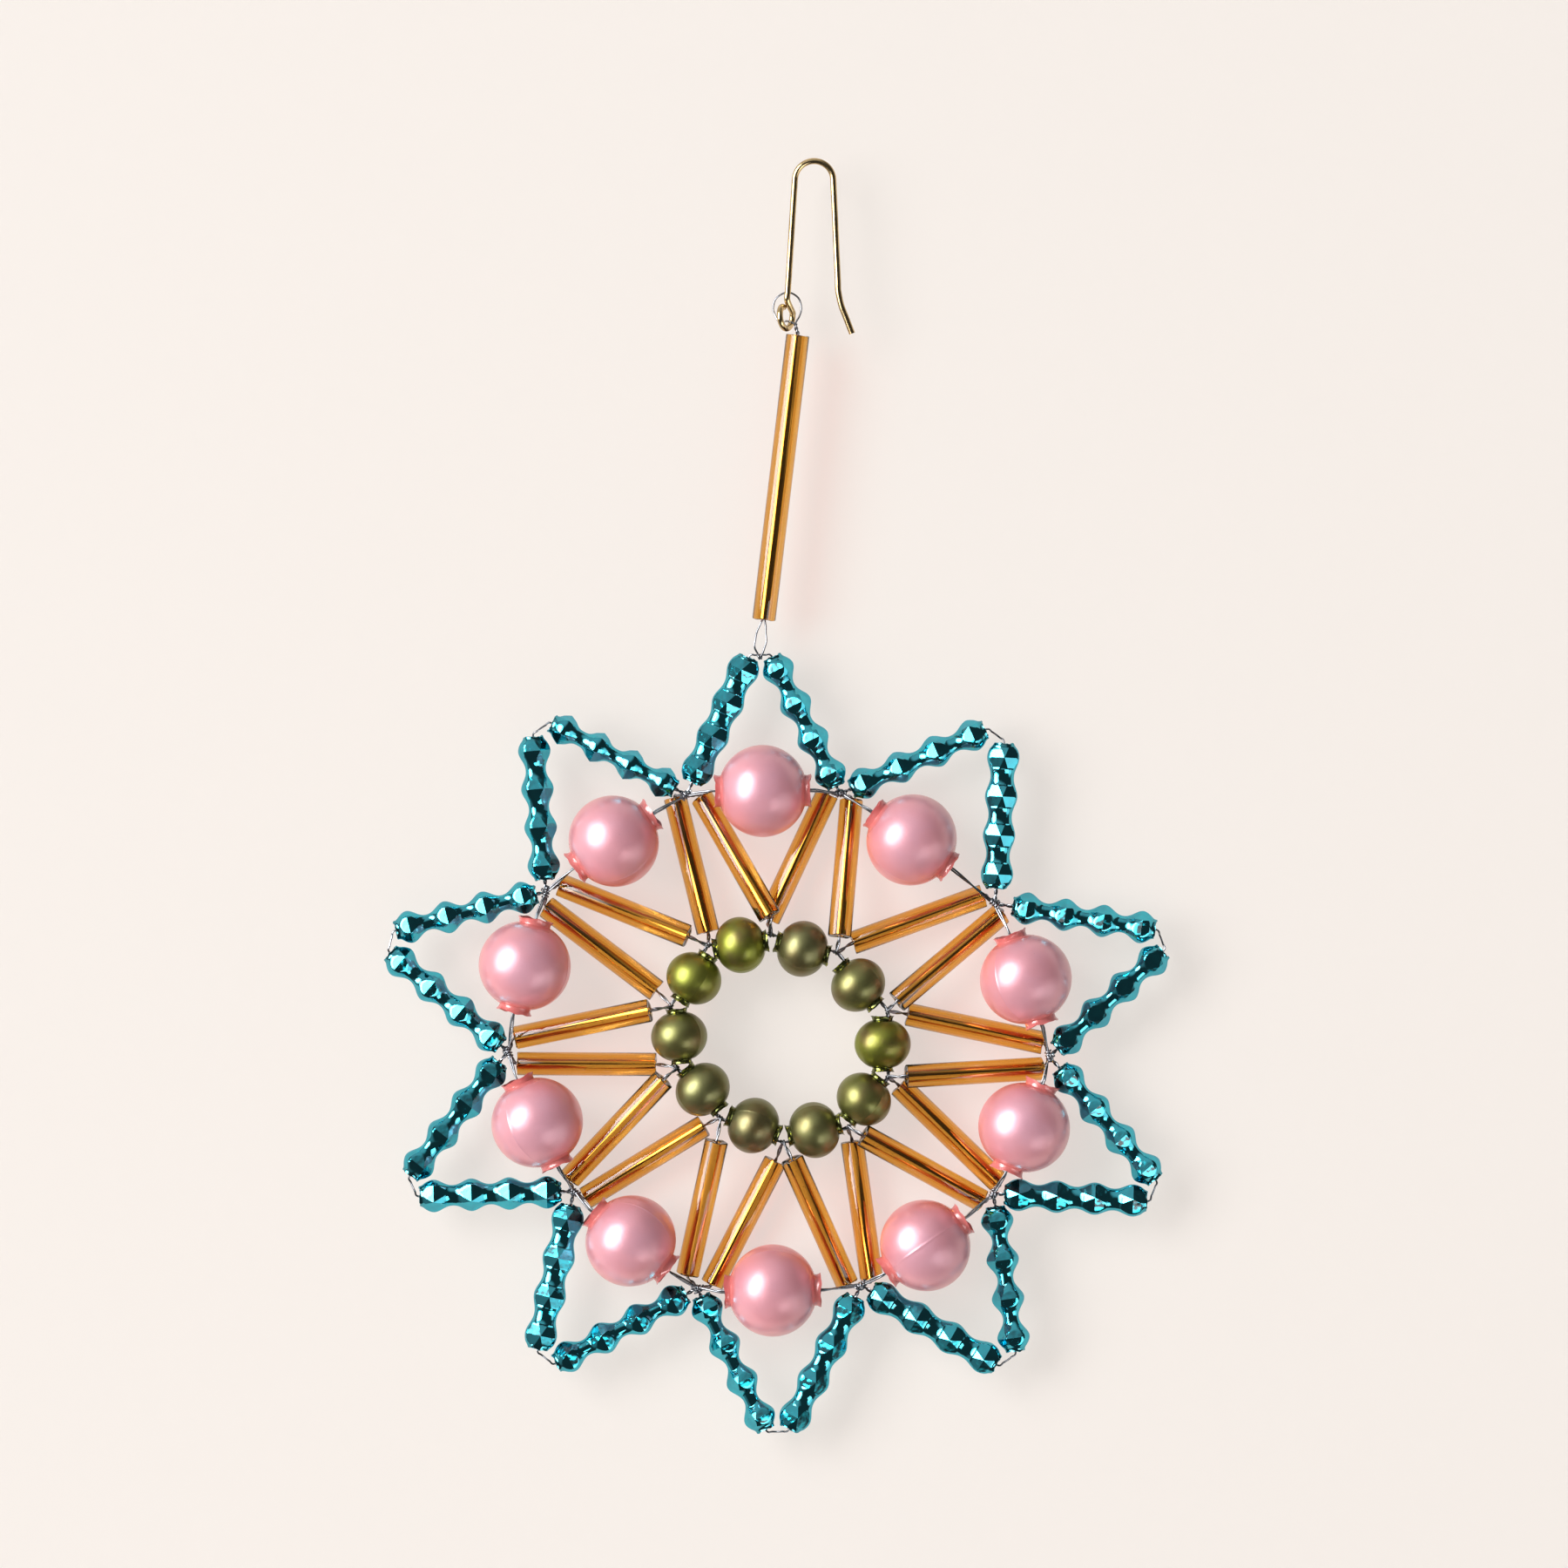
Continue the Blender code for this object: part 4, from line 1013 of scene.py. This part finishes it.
class STAR_OT_teal_rods(bpy.types.Operator):
    """Add the ten star points, each of two teal rods and the wire that bends over its tip"""

    bl_idname = "star_ornament.teal_rods"
    bl_label = "Teal Rods"

    def execute(self, context):
        settings = context.scene.star_rods
        steel = context.scene.star_wires.steel_diameter
        materials = [finish_of("teal_lacquer"), finish_of("steel_wire_metal")]
        for i in range(POINTS):
            chance = np.random.default_rng(100 + i)
            rods = rod_lines(i, settings)
            widths = NECK_WIDTHS[2 * i:2 * i + 2]
            shells = [rod_shell(*rod, width * MM, settings, chance) for rod, width in zip(rods, widths)]
            ends = [(start + axis * rod_length(pitch, settings), axis) for start, axis, pitch, _ in rods]
            shells.append(round_wire(spline(tip_wire(*ends), 8), steel, NEAR_STRAND_SIDES, slot=1))
            for (start, axis, _, _), knot in zip(rods, (OUTER_KNOTS[i - 1], OUTER_KNOTS[i])):
                tail = [start + axis * 2.5 * MM, start, knot + (start - knot) * 0.35 + FRONT * 0.15 * MM,
                        knot + unit(start - knot) * 0.12 * MM + FRONT * 0.3 * MM]
                shells += twisted_pair(spline(tail, 10), steel, 2.2, any_turn(chance, 3), slot=1)
            add_piece(f"teal_rod_pair_{i + 1:02d}", shells, materials, "star",
                      [f"star_point_{i + 1:02d}"], tone=chance.uniform(0, 1), sharp=24.0)
        return {"FINISHED"}


def blown_bead(middle, axis, facing, settings, wall, chips, chance):
    """A blown bead: a body of rounded outline, a groove, and a neck that flares to a broken rim at each
    end; then back along the inside of the wall. The columns crowd towards the two mould seams, which
    stand up as low ridges: bells round the seam's angle. The rims are cut off square, with chips, a sum
    of three waves round the rim."""
    radius, body, half = settings.diameter / 2, settings.body_length / 2, settings.length / 2
    columns, body_rows, inner_rows, neck_rows = 112, 40, 16, 5
    crowding, seam_width, mean_chip, out_of_round, rim_oval = 0.42, 0.16 * MM, 0.45, 0.006, 0.05
    bare_start, bare_end = 0.74, 1.0
    rim = settings.neck_diameter / 2
    groove = rim * 0.9
    start = math.asin(groove / radius)
    arc = np.linspace(start, math.pi - start, body_rows)
    shoulder = body * math.cos(start)
    rise = half - shoulder
    share = np.array([1.0, 0.85, 0.65, 0.4, 0.18])
    flare = groove + (rim - groove) * np.array([1.0, 0.66, 0.3, 0.05, -0.02])
    bore, inner_rim = groove - 0.6 * wall, rim - 0.25 * wall
    inner_start = math.asin(bore / (radius - wall))
    inner_arc = np.linspace(math.pi - inner_start, inner_start, inner_rows)
    radii = np.concatenate([flare, radius * np.sin(arc), flare[::-1], [inner_rim, bore],
                            (radius - wall) * np.sin(inner_arc), [bore, inner_rim]])[:, None]
    heights = np.concatenate([-shoulder - rise * share, -body * np.cos(arc),
                              (shoulder + rise * share)[::-1], [half, shoulder],
                              -(body - wall) * np.cos(inner_arc), [-shoulder, -half]])[:, None]
    even = even_turns(columns)
    turn = (even - crowding * np.sin(2 * even))[None]
    on_body = np.zeros_like(radii)
    on_body[neck_rows:neck_rows + body_rows, 0] = np.sin(np.linspace(0, math.pi, body_rows)) ** 0.5
    off_seam = np.abs((turn + math.pi / 2) % math.pi - math.pi / 2)
    ridge = SEAM_HEIGHT * np.exp(-((off_seam * radius / seam_width) ** 2)) * on_body
    away = np.maximum(0, np.abs(heights) - shoulder) / rise
    jag = sum(size * np.sin(waves * turn + any_turn(chance))
              for waves, size in ((2, 0.12), (5, 0.07), (9, 0.05)))
    heights = heights - np.sign(heights) * away * rise * chips * (mean_chip + jag)
    swell = (1 + out_of_round * np.sin(turn + any_turn(chance))
             + rim_oval * away * np.sin(2 * turn + any_turn(chance)))
    local = polar(radii * swell + ridge, turn, heights)
    bare = smooth_step(np.abs(local[..., 2]), bare_start * body, bare_end * body)
    return shell(set_on_axis(local, middle, axis, facing), grid_quads(len(local), columns, True),
                 rim=bare, place=local / MM + any_place(chance))


def add_beads(kind, piece, finish, settings, wall, chips, seam_turns, tones, seed):
    """Ten blown beads of a kind, each on its own joint, with its seam turned by so many degrees from the
    front. A kind without tones draws one for each bead."""
    for i in range(POINTS):
        name = f"{kind}_{i + 1:02d}"
        middle, axis = joint_line(name + "_spin")
        chance = np.random.default_rng(seed + i)
        facing = facing_front(axis, math.radians(seam_turns[i]))
        bead = blown_bead(middle, axis, facing, settings, wall, chips, chance)
        add_piece(f"{piece}_{i + 1:02d}", [bead], [finish_of(finish)], name, [name],
                  tone=tones[i] if tones else chance.uniform(0, 1))


class STAR_OT_pearls(bpy.types.Operator):
    """Add the ten pink pearls of the outer ring"""

    bl_idname = "star_ornament.pearls"
    bl_label = "Pink Pearls"

    def execute(self, context):
        seam_turns = (75, 60, 40, 80, 4, 62, 50, -35, 70, 55)
        add_beads("pink_pearl", "pearl_bead", "pink_pearl_lacquer",
                  context.scene.star_pearls, 0.6 * MM, 0.7, seam_turns, None, 200)
        return {"FINISHED"}


class STAR_OT_green_beads(bpy.types.Operator):
    """Add the ten green beads of the inner ring"""

    bl_idname = "star_ornament.green_beads"
    bl_label = "Green Beads"

    def execute(self, context):
        seam_turns = (40, -45, 70, -30, 60, 30, -60, 50, 20, 65)
        tones = (0.2, 0.35, 1.0, 0.5, 0.3, 0.15, 0.25, 0.4, 0.9, 1.0)
        add_beads("green_bead", "olive_bead", "olive_lacquer", context.scene.star_greens,
                  0.4 * MM, 0.6, seam_turns, tones, 300)
        return {"FINISHED"}


def ring_strands(i, steel, chance):
    """The wires of a tenth of both rings: a twisted pair from one inner knot to the next, one through a
    pearl from one outer knot to the next, and the two windings of the outer knot."""
    following = (i + 1) % POINTS
    path = np.linspace(INNER_KNOTS[i], INNER_KNOTS[following], 30)
    inner = twisted_pair(path, steel, 3.0, any_turn(chance, 3))
    middle, axis = joint_line(f"pink_pearl_{following + 1:02d}_spin")
    reach = 6.6 * MM
    knot = OUTER_KNOTS[i]
    route = [knot, middle - axis * reach, middle + axis * reach, OUTER_KNOTS[following]]
    path = np.concatenate([np.linspace(a, b, 12)[:-1] for a, b in zip(route, route[1:])] + [route[-1:]])
    pearls = twisted_pair(path, steel, 2.0, any_turn(chance, 3), spread=1.1)
    outward = unit(knot - STAR_CENTRE)
    clockwise = np.cross(outward, FRONT)
    pearls.append(coil(knot, clockwise + 0.3 * outward, 0.36 * MM, 4.0, 1.5 * MM, steel,
                       any_turn(chance, 6)))
    pearls.append(coil(knot + 0.2 * MM * outward, outward - 0.5 * clockwise, 0.3 * MM, 2.5, 0.9 * MM,
                       steel, any_turn(chance, 6)))
    return inner, pearls


def spoke_strands(i, steel, chance):
    """The zigzag wire at an inner knot: twisted leads from inside both its gold tubes to their knots at
    both ends, and the winding of the inner knot."""
    strands = []
    knot = INNER_KNOTS[i]
    inside, spread = 3 * MM, 1.08
    for k, outer in ((0, OUTER_KNOTS[i - 1]), (1, OUTER_KNOTS[i])):
        middle, axis, length = tube_line(f"gold_spoke_{2 * i + k + 1:02d}")
        if (knot - middle) @ axis < 0:
            axis = -axis
        near, far = middle + axis * length / 2, middle - axis * length / 2
        hold = knot + unit(STAR_CENTRE - knot) * 0.2 * MM + FRONT * (0.3 - 0.6 * k) * MM
        lead = [near - axis * inside, near, near + (hold - near) * 0.55 + FRONT * 0.05 * MM, hold]
        strands += twisted_pair(spline(lead, 8), steel, 1.4, any_turn(chance, 3), spread)
        hold = outer + unit(outer - STAR_CENTRE) * 0.1 * MM + FRONT * 0.1 * MM
        lead = [far + axis * inside, far, far + (hold - far) * 0.5, hold]
        strands += twisted_pair(spline(lead, 8), steel, 1.2, any_turn(chance, 3), spread)
    tangent = np.cross(unit(knot - STAR_CENTRE), FRONT)
    return strands + [coil(knot, tangent, 0.3 * MM, 1.6, 0.6 * MM, steel, any_turn(chance, 6))]


class STAR_OT_star_wires(bpy.types.Operator):
    """Add the steel wires that thread the pearls, the green beads and the gold tubes, with their knots"""

    bl_idname = "star_ornament.star_wires"
    bl_label = "Star Wires"

    def execute(self, context):
        steel = context.scene.star_wires.steel_diameter
        metal = [finish_of("steel_wire_metal")]
        chance = np.random.default_rng(5)
        inner, pearls = zip(*(ring_strands(i, steel, chance) for i in range(POINTS)))
        spokes = [spoke_strands(i, steel, chance) for i in range(POINTS)]
        for name, node, parts in (("inner_ring_strands", "inner_ring_wire", inner),
                                  ("pearl_ring_strands", "pearl_ring_wire", pearls),
                                  ("spoke_strands", "spoke_wire", spokes)):
            add_piece(name, sum(parts, []), metal, "star", [node])
        return {"FINISHED"}


# Stage


LAMP_DISTANCE = 2.4
ROOM_LIGHT = 0.05
# Soft patches of light in the room: the way to each, the degrees within which it is full and beyond which
# it is gone, and its strength
ROOM_GLOWS = (
    ((-0.25, -0.5, 0.83), 12, 48, 0.6),
    ((-0.72, -0.65, 0.24), 20, 28, 6.0),
    ((0.82, -0.36, -0.45), 8, 24, 1.6),
    ((-0.95, -0.2, -0.3), 10, 40, 0.25),
)
DULL_LIGHT = (0.24, 0.24, 0.25)


def area_lamp(name, target, way, size, radiance, roll=0.0):
    """A soft rectangular lamp that faces the target from the given way, turned about its own axis by so
    many degrees. Its power follows from how bright its face looks: radiance times pi times its area."""
    data = bpy.data.lights.new(name, "AREA")
    data.shape = "RECTANGLE"
    data.size, data.size_y = size
    data.energy = radiance * math.pi * size[0] * size[1]
    lamp = bpy.data.objects.new(name, data)
    bpy.context.scene.collection.objects.link(lamp)
    way = unit(np.asarray(way, float))
    lamp.location = target + way * LAMP_DISTANCE
    lamp.rotation_mode = "QUATERNION"
    lamp.rotation_quaternion = (Vector(way).to_track_quat("Z", "Y")
                                @ Quaternion((0.0, 0.0, 1.0), math.radians(roll)))
    lamp.visible_camera = False


def glow(tree, where, way, inner, outer, strength):
    """A soft round patch of the room: full within the inner angle from its way, and gone beyond the
    outer."""
    toward = add_node(tree, "ShaderNodeVectorMath", {0: where, 1: tuple(unit(np.array(way)))},
                      operation="DOT_PRODUCT").outputs["Value"]
    return soft_rise(tree, toward, math.cos(math.radians(outer)), math.cos(math.radians(inner)), strength)


def make_world(settings):
    """Pale where the camera looks straight at it, and behind the ornament. What shiny surfaces and glass
    show of the room in front is darker: its own light and that of each soft patch, added up. Dull
    surfaces get an even grey."""
    world = bpy.data.worlds.new("studio")
    world.use_nodes = True
    bpy.context.scene.world = world
    tree = world.node_tree
    where = add_node(tree, "ShaderNodeTexCoord").outputs["Generated"]
    depth = add_node(tree, "ShaderNodeSeparateXYZ", {0: where}).outputs["Y"]
    fade = {"Value": depth, "From Min": -0.1, "From Max": 0.1}
    behind = add_node(tree, "ShaderNodeMapRange", fade).outputs["Result"]
    room = ROOM_LIGHT
    for patch in ROOM_GLOWS:
        room = maths(tree, "ADD", room, glow(tree, where, *patch))
    dark = add_node(tree, "ShaderNodeCombineColor", {0: room, 1: room, 2: room}).outputs[0]
    shiny = mix_colour(tree, behind, dark, settings.backdrop_colour)
    path = add_node(tree, "ShaderNodeLightPath").outputs
    bent = maths(tree, "MAXIMUM", path["Is Glossy Ray"], path["Is Transmission Ray"])
    colour = mix_colour(tree, bent, DULL_LIGHT, shiny)
    colour = mix_colour(tree, path["Is Camera Ray"], colour, settings.backdrop_colour)
    set_inputs(tree, tree.nodes["Background"], {"Color": colour})


def add_sheet(name, corners, principled):
    """A flat sheet with its own paper; gives its object, node tree and shader."""
    mesh = bpy.data.meshes.new(name)
    mesh.from_pydata(corners, [], [(0, 1, 2, 3)])
    sheet = bpy.data.objects.new(name, mesh)
    bpy.context.scene.collection.objects.link(sheet)
    tree, shader = new_material(name + "_paper", principled)
    mesh.materials.append(bpy.data.materials[name + "_paper"])
    return sheet, tree, shader


def add_wall(depth, target, settings):
    """The pale surface on which the ornament lies in the photograph, here a wall that shows only from the
    front. Part of its brightness is its own, which keeps the shadows on it pale."""
    half, lit_share, glow_strength = 0.6, 0.36, 0.675
    left, right, low, high = target[0] - half, target[0] + half, target[2] - half, target[2] + half
    corners = [(left, depth, low), (right, depth, low), (right, depth, high), (left, depth, high)]
    wall, tree, shader = add_sheet("wall", corners, {
        "Base Color": [c * lit_share for c in settings.backdrop_colour], "Roughness": 0.9,
        "Specular IOR Level": 0.0, "Emission Color": settings.backdrop_colour,
        "Emission Strength": glow_strength})
    wall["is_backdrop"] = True
    mix_with_clear(tree, add_node(tree, "ShaderNodeNewGeometry").outputs["Backfacing"], shader)


def add_floor(lowest, settings):
    """A plain pale floor well below the ornament, outside the photograph's view."""
    half, below = 2.0, 0.25
    height = lowest - below
    corners = [(-half, -half, height), (half, -half, height), (half, half, height), (-half, half, height)]
    floor = add_sheet("floor", corners, {"Base Color": settings.backdrop_colour, "Roughness": 0.9})[0]
    floor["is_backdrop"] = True
    floor.visible_glossy = False


class STAR_OT_stage(bpy.types.Operator):
    """Add the camera, the lamps, the pale surface behind the ornament and the floor below it"""

    bl_idname = "star_ornament.stage"
    bl_label = "Stage"

    def execute(self, context):
        settings = context.scene.star_stage
        scene = context.scene
        scene.view_settings.view_transform = "Standard"
        low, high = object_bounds()
        # At the star's plane the view is as wide as the photograph and has the same middle, so the lens
        # is the sensor's width times the distance, divided by the view's width
        width = PHOTO_SIZE / PHOTO_PIXELS_PER_MM * MM
        middle = PHOTO_SIZE / 2
        x = (middle - PHOTO_ORIGIN[0]) / PHOTO_PIXELS_PER_MM * MM
        z = -(middle - PHOTO_ORIGIN[1]) / PHOTO_PIXELS_PER_MM * MM
        data = bpy.data.cameras.new("camera")
        data.sensor_width = 36.0
        data.lens = data.sensor_width * settings.camera_distance / width
        data.clip_start, data.clip_end = 0.05, 20.0
        camera = bpy.data.objects.new("camera", data)
        scene.collection.objects.link(camera)
        camera.location = (x, -settings.camera_distance, z)
        camera.rotation_euler = (math.pi / 2, 0, 0)
        scene.camera = camera

        target = np.array([x, 0.0, z])
        area_lamp("key_lamp", target, (-0.741, -0.629, 0.235), (1.15, 2.3), 7.0, -20.0)
        area_lamp("second_lamp", target, (0.485, -0.656, -0.578), (1.1, 1.2), 3.4)
        make_world(settings)
        add_wall(high[1] + settings.backdrop_gap, target, settings)
        add_floor(low[2], settings)
        return {"FINISHED"}


class STAR_PT_panel(bpy.types.Panel):
    """Lists the ornament's pieces"""

    bl_idname = "STAR_PT_panel"
    bl_label = "Star Ornament"
    bl_space_type = "VIEW_3D"
    bl_region_type = "UI"
    bl_category = "Star Ornament"

    def draw(self, context):
        """One button for each operator."""
        for operator in OPERATORS:
            self.layout.operator(operator.bl_idname)


SETTINGS = {
    "star_rods": RodSettings,
    "star_pearls": PearlSettings,
    "star_greens": GreenSettings,
    "star_tubes": TubeSettings,
    "star_wires": WireSettings,
    "star_stage": StageSettings,
}
OPERATORS = (
    STAR_OT_hook,
    STAR_OT_hanger_wire,
    STAR_OT_gold_tubes,
    STAR_OT_teal_rods,
    STAR_OT_pearls,
    STAR_OT_green_beads,
    STAR_OT_star_wires,
    STAR_OT_stage,
)


def register():
    """Add the classes, and the settings to the scene."""
    for item in (*SETTINGS.values(), *OPERATORS, STAR_PT_panel):
        bpy.utils.register_class(item)
    for name, kind in SETTINGS.items():
        setattr(bpy.types.Scene, name, PointerProperty(type=kind))


def unregister():
    """Take them out again."""
    for name in SETTINGS:
        delattr(bpy.types.Scene, name)
    for item in reversed((*SETTINGS.values(), *OPERATORS, STAR_PT_panel)):
        bpy.utils.unregister_class(item)


def main():
    """Build every piece and the stage."""
    register()
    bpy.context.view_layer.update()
    for name in ("hook", "hanger_wire", "gold_tubes", "teal_rods", "pearls", "green_beads", "star_wires",
                 "stage"):
        getattr(bpy.ops.star_ornament, name)()


if __name__ == "__main__":
    main()
